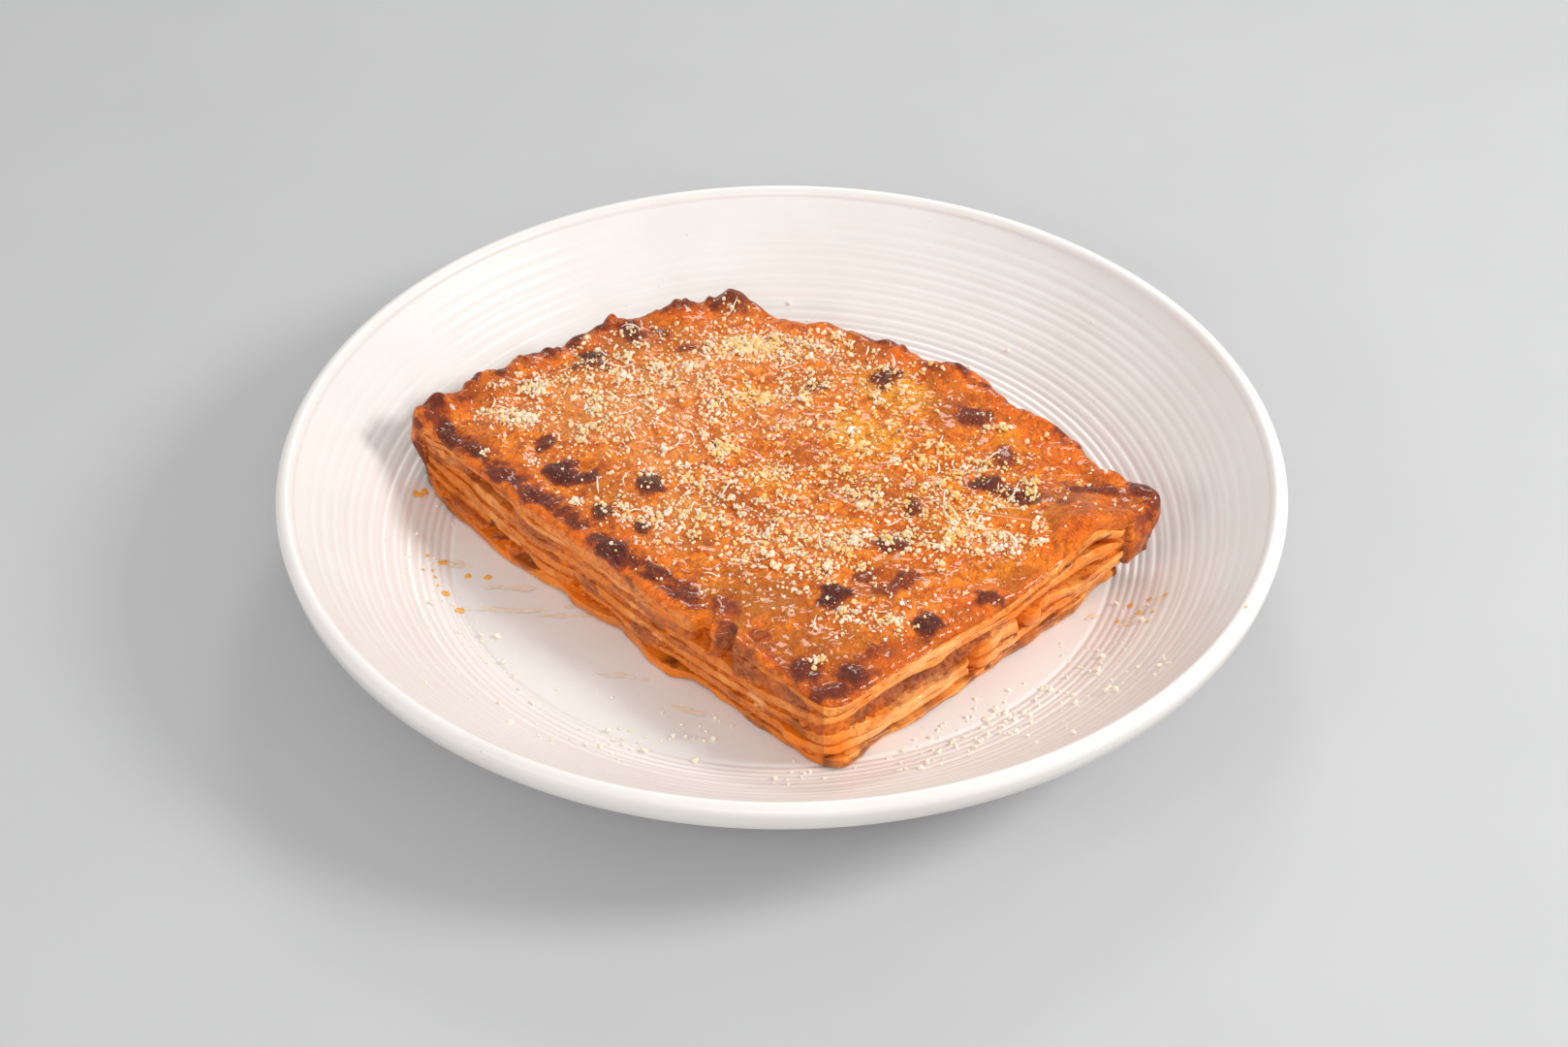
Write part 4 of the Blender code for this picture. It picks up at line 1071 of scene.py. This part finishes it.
def skirt_relief(points, back):
    """Lumps on the side of the crust: soft ones on the baked sides, crumbly ones on the cuts."""
    x, y, z = (points / MM).T
    nearest, second = cells(x / 2.6, y / 2.6, z / 2.2, 80)
    crumbly = 0.5 * fractal(x / 4, y / 4, z / 3, 81, 2) + 0.5 * np.minimum(second - nearest, 0.5)
    drips = 0.9 * noise(x / 9, y / 9, z / 14, 82) + 0.5 * fractal(x / 3.4, y / 3.4, z / 4.5, 83, 2)
    return MM * np.where(back, drips, crumbly - 0.2)


def coons_grid(edge, counts):
    """Fills the ring of the top's edge with a grid, between its four sides."""
    across, deep = counts[0], counts[1]
    bottom = edge[:across + 1]
    right = edge[across:across + deep + 1]
    top = edge[across + deep:2 * across + deep + 1][::-1]
    left = np.concatenate([edge[2 * across + deep:], edge[:1]])[::-1]
    u = (np.arange(across + 1) / across)[None, :, None]
    v = (np.arange(deep + 1) / deep)[:, None, None]
    ruled = (1 - v) * bottom[None] + v * top[None] + (1 - u) * left[:, None] + u * right[:, None]
    corners = (
        (1 - u) * (1 - v) * bottom[0] + u * (1 - v) * bottom[-1]
        + (1 - u) * v * top[0] + u * v * top[-1]
    )
    grid = ruled - corners
    for _ in range(GRID_EVENING):
        near = grid[:-2, 1:-1] + grid[2:, 1:-1] + grid[1:-1, :-2] + grid[1:-1, 2:]
        grid[1:-1, 1:-1] = near / 4
    return grid


def ring_in_grid(counts):
    """Number in the grid of each point of the ring round it."""
    across, deep = counts[0], counts[1]
    width = across + 1
    bottom = np.arange(across)
    right = across + width * np.arange(deep)
    top = width * deep + across - np.arange(across)
    left = width * (deep - np.arange(deep))
    return np.concatenate([bottom, right, top, left])


def crust_values(points):
    """How burnt, how red and how dusted with cheese each place of the crust is, and its tones, of
    which the tan one is partly painted sheen.
    """
    x, y, z = points.T
    patchy = fractal(*(points / PATCH_SIZE).T, 90, 3)
    broad = fractal(x / BROAD_SIZE, y / BROAD_SIZE, 0, 91, 2)
    burn = np.zeros(len(points))
    ragged_x, ragged_y = warped(x, y)
    for blister in BLISTERS:
        reach = blister_reach(ragged_x, ragged_y, blister) + 0.25 * patchy
        burn = np.maximum(burn, blister[5] * smooth(np.clip(1.55 - 1.05 * reach, 0, 1)))
    front_left, along = side_distance(x, y, 0)
    band = smooth(np.clip((front_left - BURNT_BAND_START) / BURNT_BAND_FADE, 0, 1))
    band = band * smooth(np.clip(1.3 - front_left / BURNT_BAND_WIDTH, 0, 1))
    band = band * np.interp(along, *BURNT_BAND_STRENGTH)
    burn = np.maximum(burn, band * np.clip(0.62 + 0.7 * patchy, 0, 1))
    # The roll at the front left is paler lower down.
    depth = (crust_top(x, y) - z) / MM
    faded = 1 - 0.8 * smooth(np.clip((depth - 0.5) / 2, 0, 1))
    burn = burn * np.where(front_left < ROLL_WIDTH, faded, 1)
    distances = [side_distance(x, y, side)[0] for side in range(4)]
    for side, width, least, spread in BURNT_RIMS:
        band = smooth(np.clip(1 - distances[side] / width, 0, 1))
        burn = np.maximum(burn, band * np.clip(least + spread * patchy, 0, 1))
    for tip_x, tip_y, reach, strength in BURNT_TIPS:
        tip = smooth(np.clip(1 - np.hypot(x / MM - tip_x, y / MM - tip_y) / reach, 0, 1))
        burn = np.maximum(burn, strength * tip * np.clip(0.75 + 0.6 * patchy, 0, 1))
    inner = smooth(np.clip(np.min(distances, axis=0) / RED_REACH, 0, 1))
    red = np.clip((1 - inner) * (0.75 + 0.4 * broad) + 0.2 * patchy, 0, 1)
    tones = {tone: np.zeros(len(points)) for tone in CRUST_ZONES}
    for tone, zones in CRUST_ZONES.items():
        for zone in zones:
            reach = blister_reach(ragged_x, ragged_y, zone) + 0.5 * patchy
            shown = zone[5] * smooth(np.clip(1.5 - reach, 0, 1))
            tones[tone] = np.maximum(tones[tone], shown)
    dust = np.zeros(len(points))
    for middle_x, middle_y, spread_x, spread_y, count in DRIFTS:
        reach = np.hypot((x / MM - middle_x) / spread_x, (y / MM - middle_y) / spread_y)
        dust += count / (spread_x * spread_y * 14) * np.exp(-reach**2 / 2)
    on_top = smooth(np.clip(1 - depth / 2, 0, 1))
    dust = np.clip(1.15 * dust, 0, 1) ** 1.4 * on_top * np.interp((y - x) / MM, *DUST_LEAN)
    at_front = smooth(np.clip(1 - front_left / TAN_WIDTH, 0, 1))
    tones["tan_and_sheen"] = np.maximum(tones["tan_and_sheen"], at_front * smooth(np.clip((depth - 1) / 1.5, 0, 1)))
    return {"burn": burn, "red": red, "dust": dust, "top": on_top, **tones}


def make_crust(finish):
    """The baked top, whose edge laps over the cut sides and hangs down the back ones."""
    t = stations(CRUST_POINTS)
    rings, edge = crust_rings(t)
    grid = coons_grid(edge, CRUST_POINTS)
    deep, across = grid.shape[:2]
    plan = grid.reshape(-1, 2)
    top = np.column_stack([plan, crust_top(*plan.T)])
    columns = len(t)
    lower = np.concatenate(rings)
    roof_peak = (*centre(), float(base_height(*centre())) + TOPS[-1][-1])
    points = np.concatenate([top, lower, [roof_peak]])
    i, j = np.meshgrid(np.arange(deep - 1), np.arange(across - 1), indexing="ij")
    first = (i * across + j).reshape(-1)
    faces = np.stack([first, first + 1, first + across + 1, first + across], -1).tolist()
    faces += band_faces(len(rings), columns, len(top))
    last = len(top) + (len(rings) - 1) * columns + np.arange(columns)
    rim = ring_in_grid(CRUST_POINTS)
    faces += np.stack([last, np.roll(last, -1), np.roll(rim, -1), rim], -1).tolist()
    faces += fan_faces(len(top), columns, len(points) - 1, False)
    values = crust_values(points)
    shown = face_values(np.concatenate([np.tile(t, len(rings)), [3]]), points[len(top):])
    # The cut edge of the crust takes the meat, sauce and painted shade spots of the cut sides.
    for kind in ("meat", "painted_shade", "sauce"):
        values[kind] = np.concatenate([np.zeros(len(top)), shown[kind]])
    new_piece("crust_baked", points, faces, finish, "top_crust", values=values)


# Grated cheese, crumbs and oil

def icosahedron():
    golden = (1 + math.sqrt(5)) / 2
    points = []
    for a, b in itertools.product((-1, 1), (-golden, golden)):
        points += [(0, a, b), (a, b, 0), (b, 0, a)]
    points = np.array(points) / math.hypot(1, golden)
    near = np.linalg.norm(points[:, None] - points[None], axis=-1) < 1.1
    faces = []
    for a, b, c in itertools.combinations(range(12), 3):
        if near[a, b] and near[b, c] and near[a, c]:
            outward = np.linalg.det(points[[a, b, c]]) > 0
            faces.append((a, b, c) if outward else (a, c, b))
    return points, np.array(faces)


def turns(rng, count):
    """Random rotations as matrices."""
    made, _ = np.linalg.qr(rng.normal(size=(count, 3, 3)))
    made[np.linalg.det(made) < 0, :, 0] *= -1
    return made


def bits(rng, places, radii, squeeze=(0.6, 1.25), jitter=0.22):
    """Irregular grains at the places given: points, faces and one random number to each point."""
    points, faces = icosahedron()
    count = len(places)
    stretch = rng.uniform(*squeeze, (count, 1, 3))
    rough = 1 + rng.normal(0, jitter, (count, len(points), 1))
    shaped = points * stretch * rough * np.asarray(radii)[:, None, None]
    shaped = np.einsum("nij,npj->npi", turns(rng, count), shaped)
    all_points = (shaped + places[:, None]).reshape(-1, 3)
    all_faces = (faces + len(points) * np.arange(count)[:, None, None]).reshape(-1, 3)
    tone = np.repeat(rng.uniform(0, 1, count), len(points))
    return all_points, all_faces.tolist(), tone


def inside_slice(x, y, margin):
    near = [side_distance(x, y, side)[0] for side in range(4)]
    return np.min(near, axis=0) > margin


def chosen_drifts(rng, count):
    """Drifts drawn at random, the large ones more often."""
    weights = np.array([drift[4] for drift in DRIFTS], float)
    return [DRIFTS[pick] for pick in rng.choice(len(DRIFTS), count, p=weights / weights.sum())]


def make_grains(rng, finish):
    """Fine grains, drifted over the crust."""
    spots = []
    for x, y, spread_x, spread_y, count in DRIFTS:
        count = math.ceil(GRAIN_SHARE * count)
        spots.append(rng.normal((x, y), (1.1 * spread_x, 1.1 * spread_y), (count, 2)) * MM)
    spots = np.concatenate(spots)
    low, high = GRAIN_RADIUS
    radii = low + (high - low) * rng.beta(1.0, 4.0, len(spots))
    lifts = 0.45 * radii
    for x, y, spread_x, spread_y, _ in chosen_drifts(rng, CLUMP_COUNT):
        reach = rng.uniform(*CLUMP_REACH)
        middle = rng.normal((x, y), (spread_x, spread_y))
        offset = rng.normal(0, 0.6 * reach, (CLUMP_GRAINS, 2))
        spots = np.concatenate([spots, (middle + offset) * MM])
        sizes = rng.uniform(0.25, 0.6, CLUMP_GRAINS) * reach * MM
        radii = np.concatenate([radii, sizes])
        pile = 0.9 * reach * MM * np.exp(-(np.linalg.norm(offset, axis=1) / reach) ** 2)
        lifts = np.concatenate([lifts, 0.3 * sizes + pile * rng.uniform(0.2, 1, CLUMP_GRAINS)])
    kept = inside_slice(*spots.T, GRAIN_MARGIN)
    spots, radii, lifts = spots[kept], radii[kept], lifts[kept]
    places = np.column_stack([spots, crust_top(*spots.T) + lifts])
    points, faces, tone = bits(rng, places, radii)
    golden_x, golden_y, reach, strength = GOLDEN_PART
    apart = np.hypot(points[:, 0] / MM - golden_x, points[:, 1] / MM - golden_y) / reach
    tone = 0.12 + 0.8 * tone + strength * np.exp(-(apart**2))
    new_piece(
        "cheese_grains", points, faces, finish, smooth_shade=False,
        values={"tone": tone},
    )


def make_lumps(rng, finish):
    """Larger bits of cheese, each a cluster of grains."""
    places, radii, golden = [], [], []
    for x, y, radius in LUMPS:
        for _ in range(LUMP_GRAINS):
            offset = rng.normal(0, 0.55 * radius, 2)
            lift = rng.uniform(0, 0.7) * radius
            spot = np.array([x + offset[0], y + offset[1]]) * MM
            places.append((*spot, float(crust_top(*spot)) + lift * MM * 0.6))
            radii.append(rng.uniform(0.3, 0.55) * radius * MM)
            golden.append(radius >= GOLDEN_LUMP)
    points, faces, tone = bits(rng, np.array(places), radii)
    tone = np.where(np.repeat(golden, len(tone) // len(golden)), 0.70 + 0.25 * tone, 0.6 * tone)
    new_piece(
        "cheese_lumps", points, faces, finish, smooth_shade=False,
        values={"tone": tone},
    )


def make_shreds(rng, finish):
    """Thin curved shreds of cheese on the crust."""
    sides, steps = SHRED_SIDES, SHRED_STEPS
    all_points, all_faces, tones = [], [], []
    for x, y, spread_x, spread_y, _ in chosen_drifts(rng, SHRED_COUNT):
        spot = rng.normal((x, y), (spread_x, spread_y)) * MM
        if not inside_slice(*spot, SHRED_MARGIN):
            continue
        length = rng.uniform(*SHRED_LENGTH)
        heading, bend = rng.uniform(0, 2 * math.pi), rng.normal(0, 0.7)
        tilt = abs(rng.normal(0, 0.25))
        along = np.linspace(-0.5, 0.5, steps)
        angle = heading + bend * along
        path = spot + length * np.column_stack([along * np.cos(angle), along * np.sin(angle)])
        height = crust_top(*path.T) + SHRED_LIFT + tilt * length * (along + 0.5)
        thin = SHRED_RADIUS * (1 - 0.75 * np.abs(2 * along) ** 2) * rng.uniform(0.8, 1.4)
        across = np.column_stack([-np.sin(angle), np.cos(angle)])
        rings = []
        for turn in np.arange(sides) * 2 * math.pi / sides:
            plan = path + across * (thin * math.cos(turn) * 1.5)[:, None]
            rings.append(np.column_stack([plan, height + thin * math.sin(turn)]))
        start = sum(len(points) for points in all_points)
        all_points.append(np.stack(rings, 1).reshape(-1, 3))
        all_faces += band_faces(steps, sides, start)
        all_faces.append([start + side for side in range(sides)][::-1])
        all_faces.append([start + (steps - 1) * sides + side for side in range(sides)])
        tones += [rng.uniform(0, 0.6)] * (steps * sides)
    new_piece(
        "cheese_shreds", np.concatenate(all_points), all_faces, finish,
        values={"tone": tones},
    )


def plate_top(x, y):
    radius = np.hypot(x, y)
    return wall_height(radius) - groove_depth(radius)


def make_plate_crumbs(rng, finish):
    spots = []
    for x, y, spread_x, spread_y, count in PLATE_CRUMBS:
        spots.append(rng.normal((x, y), (spread_x, spread_y), (count, 2)) * MM)
    spots = np.concatenate(spots)
    clear = ~inside_slice(*spots.T, -CRUMB_MARGIN)
    spots = spots[clear & (np.hypot(*spots.T) < PLATE_RADIUS - CRUMB_RIM_MARGIN)]
    radii = (0.28 + 0.8 * rng.beta(1.2, 3, len(spots))) * MM
    places = np.column_stack([spots, plate_top(*spots.T) + 0.5 * radii])
    points, faces, tone = bits(rng, places, radii)
    new_piece(
        "cheese_crumbs", points, faces, finish, smooth_shade=False,
        values={"tone": 0.15 * tone},
    )


def turned(x, y, u, v, turn):
    """The place at u along and v across a direction, from a middle."""
    px = x + u * math.cos(turn) - v * math.sin(turn)
    return px, y + u * math.sin(turn) + v * math.cos(turn)


def blob(x, y, along, across, turn, thickness, rise):
    """A flat drop with an uneven edge that lies on the plate."""
    sides = DROP_SIDES
    angle = 2 * math.pi * np.arange(sides) / sides
    uneven = 1 + 0.22 * noise(1.3 * np.cos(angle) + x, 1.3 * np.sin(angle) + y, 0, 95)
    points = []
    for share, lift in DROP_PROFILE:
        u = along * share * uneven * np.cos(angle)
        v = across * share * uneven * np.sin(angle)
        plan = np.array(turned(x, y, u, v, turn)) * MM
        points.append(np.column_stack([*plan, plate_top(*plan) + (rise + thickness * lift) * MM]))
    middle = (x * MM, y * MM, float(plate_top(x * MM, y * MM)) + (rise + thickness) * MM)
    return np.concatenate(points + [[middle]]), sides


def make_oil(rng, finish):
    """Drops and thin smears of orange oil on the plate."""
    all_points, all_faces, strength = [], [], []
    blobs = []
    for x, y, radius in OIL_DROPS:
        blobs.append((x, y, radius, 0.8 * radius, rng.uniform(0, 3), DROP_THICKNESS, 1.0))
    for x, y, along, across, turn in SMEARS:
        turn = math.radians(turn)
        for _ in range(int(3 + along * 2)):
            u, v = rng.normal(0, (0.5 * along, 0.5 * across))
            place = turned(x, y, u, v, turn)
            size = rng.uniform(*SMEAR_SIZES)
            reach = size * rng.uniform(1, 1.8)
            strong = rng.uniform(0, 0.3)
            blobs.append((*place, reach, 0.6 * size, turn, SMEAR_THICKNESS, strong))
    for number, (x, y, along, across, turn, thickness, strong) in enumerate(blobs):
        start = sum(len(points) for points in all_points)
        rise = SMEAR_RISE * (1 + number % SMEAR_LEVELS)
        points, sides = blob(x, y, along, across, turn, thickness, rise)
        all_points.append(points)
        rows = len(DROP_PROFILE)
        peak = start + rows * sides
        all_faces += band_faces(rows, sides, start)
        all_faces += fan_faces(peak - sides, sides, peak, True)
        strength += [strong] * len(points)
    new_piece(
        "oil_drops", np.concatenate(all_points), all_faces, finish,
        values={"strength": strength},
    )


# Materials

class Finish:
    """A procedural material, built up node by node, with its colour so far."""

    def __init__(self, name):
        self.material = bpy.data.materials.new(name)
        self.material.use_nodes = True
        self.tree = self.material.node_tree
        self.shader = self.tree.nodes["Principled BSDF"]
        self.colour = None

    def put(self, socket, value):
        if isinstance(value, bpy.types.NodeSocket):
            self.tree.links.new(value, socket)
        elif socket.type == "RGBA":
            socket.default_value = (*value, 1)
        else:
            socket.default_value = value

    def add(self, kind, inputs, **settings):
        made = self.tree.nodes.new(kind)
        for key, value in settings.items():
            setattr(made, key, value)
        for key, value in inputs.items():
            self.put(made.inputs[key], value)
        return made

    def place(self):
        return self.add("ShaderNodeTexCoord", {}).outputs["Object"]

    def speckle(self, size, detail=3.0, distortion=0.0):
        """Noise whose features are about size metres across."""
        inputs = {
            "Vector": self.place(), "Scale": 1 / size, "Detail": detail, "Distortion": distortion,
        }
        return self.add("ShaderNodeTexNoise", inputs).outputs["Fac"]

    def bubble(self, size):
        inputs = {"Vector": self.place(), "Scale": 1 / size}
        return self.add("ShaderNodeTexVoronoi", inputs).outputs["Distance"]

    def value(self, name):
        """What the mesh says at each point."""
        return self.add("ShaderNodeAttribute", {}, attribute_name=name).outputs["Fac"]

    def step(self, value, low, high, to_low=0.0, to_high=1.0):
        inputs = {
            "Value": value, "From Min": low, "From Max": high, "To Min": to_low, "To Max": to_high,
        }
        return self.add("ShaderNodeMapRange", inputs).outputs["Result"]

    def calc(self, operation, first, second):
        return self.add("ShaderNodeMath", {0: first, 1: second}, operation=operation).outputs[0]

    def plus(self, first, second):
        return self.calc("ADD", first, second)

    def times(self, first, second):
        return self.calc("MULTIPLY", first, second)

    def blend(self, share, low, high):
        """Mixes two colours."""
        inputs = {0: share, 6: low, 7: high}
        return self.add("ShaderNodeMix", inputs, data_type="RGBA").outputs[2]

    def paint(self, share, colour, strength=None):
        """Lays a colour over the colour so far."""
        if strength is not None:
            share = self.times(share, strength)
        self.colour = self.blend(share, self.colour, colour)

    def rough(self, size, low, high):
        """Roughness between two values, in patches about size metres across."""
        patches = self.step(self.speckle(size), 0.3, 0.7, low, high)
        self.put(self.shader.inputs["Roughness"], patches)

    def bump(self, height, distance, strength=1.0):
        inputs = {"Height": height, "Distance": distance, "Strength": strength}
        bumped = self.add("ShaderNodeBump", inputs).outputs["Normal"]
        self.put(self.shader.inputs["Normal"], bumped)

    def done(self, constants=()):
        """Sets the shader's constants and colour."""
        for key, value in dict(constants).items():
            self.shader.inputs[key].default_value = value
        self.put(self.shader.inputs["Base Color"], self.colour)
        return self.material


def glaze_material():
    finish = Finish("plate_glaze_white")
    finish.colour = finish.blend(finish.step(finish.speckle(30 * MM), 0.35, 0.65), *GLAZE)
    finish.paint(finish.step(finish.bubble(11 * MM), 0.035, 0.02), GLAZE_SPECK, 0.35)
    finish.rough(12 * MM, 0.34, 0.44)
    finish.bump(finish.speckle(2.5 * MM, 2.0), 0.03 * MM, 0.5)
    return finish.done({"Coat Weight": 0.25, "Coat Roughness": 0.22})


def paint_spots(finish):
    """Paints the meat, sauce, cream with painted highlights and the painted shade of pits on the cut
    sides over a colour.
    """
    grain = finish.speckle(1.6 * MM, 4.0, 0.4)
    meat = finish.plus(finish.value("meat"), finish.times(grain, 0.5))
    meat_colour = finish.blend(finish.step(grain, 0.4, 0.6), *MEAT)
    finish.paint(finish.step(meat, 0.5, 1.0), meat_colour, 0.8)
    # The dark spots are painted shade; the cream ones are partly painted highlights.
    for kind, colour, strength in SPOT_COLOURS:
        finish.paint(finish.value(kind), colour, strength)


def pasta_material():
    finish = Finish("pasta_sheet")
    sauced = finish.step(finish.speckle(9 * MM, 4.0, 0.6), 0.38, 0.62)
    finish.colour = finish.blend(sauced, *PASTA)
    coating = finish.blend(finish.speckle(4 * MM, 4.0, 0.8), *PASTA_COATING)
    finish.paint(finish.value("coat"), coating)
    finish.paint(finish.step(finish.speckle(14 * MM, 2.0), 0.55, 0.7), PASTA_CREAM, 0.4)
    finish.paint(finish.step(finish.speckle(2.4 * MM, 4.0, 1.0), 0.52, 0.66), PASTA_STAIN, 0.6)
    brown = finish.plus(finish.value("brown"), finish.speckle(4 * MM))
    finish.paint(finish.step(brown, 0.85, 1.5), PASTA_BROWN)
    paint_spots(finish)
    finish.rough(2 * MM, 0.18, 0.42)
    finish.bump(finish.speckle(1.4 * MM, 5.0, 0.5), 0.30 * MM, 0.8)
    return finish.done({
        **MOIST, "Subsurface Weight": 0.12, "Subsurface Radius": (1, 0.4, 0.15),
        "Subsurface Scale": 2 * MM,
    })


def ragu_material():
    finish = Finish("ragu_filling")
    finish.colour = finish.blend(finish.step(finish.bubble(2.2 * MM), 0.15, 0.7), *RAGU)
    finish.paint(finish.step(finish.speckle(11 * MM, 2.0), 0.50, 0.64), RAGU_MAUVE, 0.5)
    finish.paint(finish.step(finish.speckle(5 * MM, 4.0, 0.8), 0.52, 0.64), RAGU_SAUCE, 0.7)
    finish.paint(finish.step(finish.speckle(1.5 * MM, 3.0), 0.62, 0.74), RAGU_DARK, 0.6)
    paint_spots(finish)
    finish.rough(1.5 * MM, 0.2, 0.5)
    pores = finish.times(finish.bubble(1.6 * MM), -0.8)
    finish.bump(finish.plus(finish.speckle(1.1 * MM, 5.0), pores), 0.5 * MM, 0.9)
    return finish.done(MOIST)


def crust_material():
    finish = Finish("crust_surface")
    mottle = finish.speckle(3.2 * MM, 5.0, 0.8)
    finish.colour = finish.blend(finish.step(mottle, 0.38, 0.62), *CRUST)
    finish.paint(finish.step(finish.plus(finish.value("red"), mottle), 0.85, 1.35), CRUST_RED, 0.8)
    # The tan tone among these is partly painted sheen.
    for tone, shade, strength in CRUST_TONES:
        share = finish.times(finish.value(tone), finish.step(mottle, 0.25, 0.6, 0.45, 1.0))
        finish.paint(share, shade, strength)
    finish.paint(finish.step(finish.speckle(4.5 * MM, 5.0, 1.5), 0.53, 0.66), CRUST_PATCH, 0.6)
    finish.paint(finish.step(finish.speckle(1.3 * MM, 3.0), 0.56, 0.70), CRUST_FRECKLE, 0.55)
    ragged = finish.times(finish.speckle(1.8 * MM, 4.0, 0.5), 0.8)
    burn = finish.plus(finish.value("burn"), ragged)
    for low, high, shade in CRUST_BURNS:
        finish.paint(finish.step(burn, low, high), shade)
    # Pale specks on the top, partly painted glints
    specks_and_glints = finish.step(finish.bubble(1.15 * MM), 0.20, 0.12)
    finish.paint(finish.times(specks_and_glints, finish.value("top")), CRUST_SPECK_AND_GLINT, 0.45)
    powder = finish.step(finish.speckle(0.55 * MM, 2.0), 0.50, 0.62)
    powder = finish.times(powder, finish.value("dust"))
    finish.paint(powder, CRUST_POWDER, 0.62)
    paint_spots(finish)
    wet = finish.step(finish.speckle(5 * MM, 3.0), 0.35, 0.65, 0.22, 0.40)
    finish.put(finish.shader.inputs["Roughness"], finish.plus(wet, finish.times(powder, 0.4)))
    fine = finish.times(finish.speckle(0.7 * MM, 3.0), 1.5)
    height = finish.plus(fine, finish.times(mottle, 1.4))
    blisters = finish.times(finish.bubble(1.3 * MM), finish.value("burn"))
    finish.bump(finish.calc("SUBTRACT", height, blisters), 0.6 * MM)
    return finish.done({"Specular IOR Level": 0.12, "Coat Weight": 0.5, "Coat Roughness": 0.05})


def cheese_material():
    finish = Finish("grated_cheese")
    tone = finish.value("tone")
    finish.colour = finish.blend(finish.step(tone, 0.0, 0.7), *CHEESE)
    finish.paint(finish.step(tone, 0.68, 0.95), CHEESE_GOLDEN)
    finish.rough(1 * MM, 0.45, 0.7)
    finish.bump(finish.speckle(0.4 * MM), 0.08 * MM)
    return finish.done({
        "Subsurface Weight": 0.4, "Subsurface Radius": (1, 0.75, 0.45),
        "Subsurface Scale": 1 * MM,
    })


def oil_material():
    finish = Finish("orange_oil")
    strong = finish.plus(finish.value("strength"), finish.times(finish.speckle(1 * MM), 0.2))
    finish.colour = finish.blend(finish.step(strong, 0.1, 1.1), *OIL)
    finish.rough(2 * MM, 0.15, 0.3)
    return finish.done()


def floor_material():
    finish = Finish("plain_floor")
    finish.colour = finish.blend(finish.speckle(60 * MM), *FLOOR)
    finish.rough(20 * MM, 0.7, 0.8)
    return finish.done()


# Stage

def make_floor():
    mesh = bpy.data.meshes.new("floor")
    reach = FLOOR_REACH
    corners = [(-reach, -reach, 0), (reach, -reach, 0), (reach, reach, 0), (-reach, reach, 0)]
    mesh.from_pydata(corners, [], [(0, 1, 2, 3)])
    mesh.materials.append(floor_material())
    floor = bpy.data.objects.new("floor", mesh)
    bpy.context.scene.collection.objects.link(floor)


def add_light(name, place, size, power, colour):
    """A round lamp that points at the middle of the slice."""
    data = bpy.data.lights.new(name, "AREA")
    data.shape = "DISK"
    data.size = size
    data.energy = power
    data.color = colour
    light = bpy.data.objects.new(name, data)
    light.location = place
    aim = np.array(LIGHT_TARGET) - np.array(place)
    flat = math.hypot(aim[0], aim[1])
    tilt = math.pi / 2 + math.atan2(aim[2], flat)
    heading = math.atan2(aim[1], aim[0]) - math.pi / 2
    light.rotation_euler = (tilt, 0, heading)
    bpy.context.scene.collection.objects.link(light)


def make_lights():
    for name, place, size, power, colour in LIGHTS:
        add_light(name, place, size, power, colour)
    world = bpy.data.worlds.new("studio")
    world.use_nodes = True
    backdrop = world.node_tree.nodes["Background"]
    backdrop.inputs["Color"].default_value = (*WARM_WHITE, 1)
    backdrop.inputs["Strength"].default_value = WORLD_STRENGTH
    bpy.context.scene.world = world


def make_camera():
    data = bpy.data.cameras.new("camera")
    data.lens = CAMERA_LENS
    data.sensor_width = CAMERA_SENSOR
    data.clip_start = 0.01
    camera = bpy.data.objects.new("camera", data)
    camera.location = CAMERA_PLACE
    camera.rotation_euler = (math.radians(CAMERA_TILT), 0, 0)
    bpy.context.scene.collection.objects.link(camera)
    bpy.context.scene.camera = camera


def main():
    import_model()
    rng = np.random.default_rng(SEED)
    make_plate(glaze_material())
    pasta, ragu = pasta_material(), ragu_material()
    for level, (name, _) in enumerate(LAYERS[:-1]):
        is_pasta = name.startswith("pasta")
        make_layer(level, pasta if is_pasta else ragu)
    make_crust(crust_material())
    cheese = cheese_material()
    make_grains(rng, cheese)
    make_lumps(rng, cheese)
    make_shreds(rng, cheese)
    make_plate_crumbs(rng, cheese)
    make_oil(rng, oil_material())
    make_floor()
    make_lights()
    make_camera()
    bpy.context.scene.view_settings.view_transform = "Standard"


main()
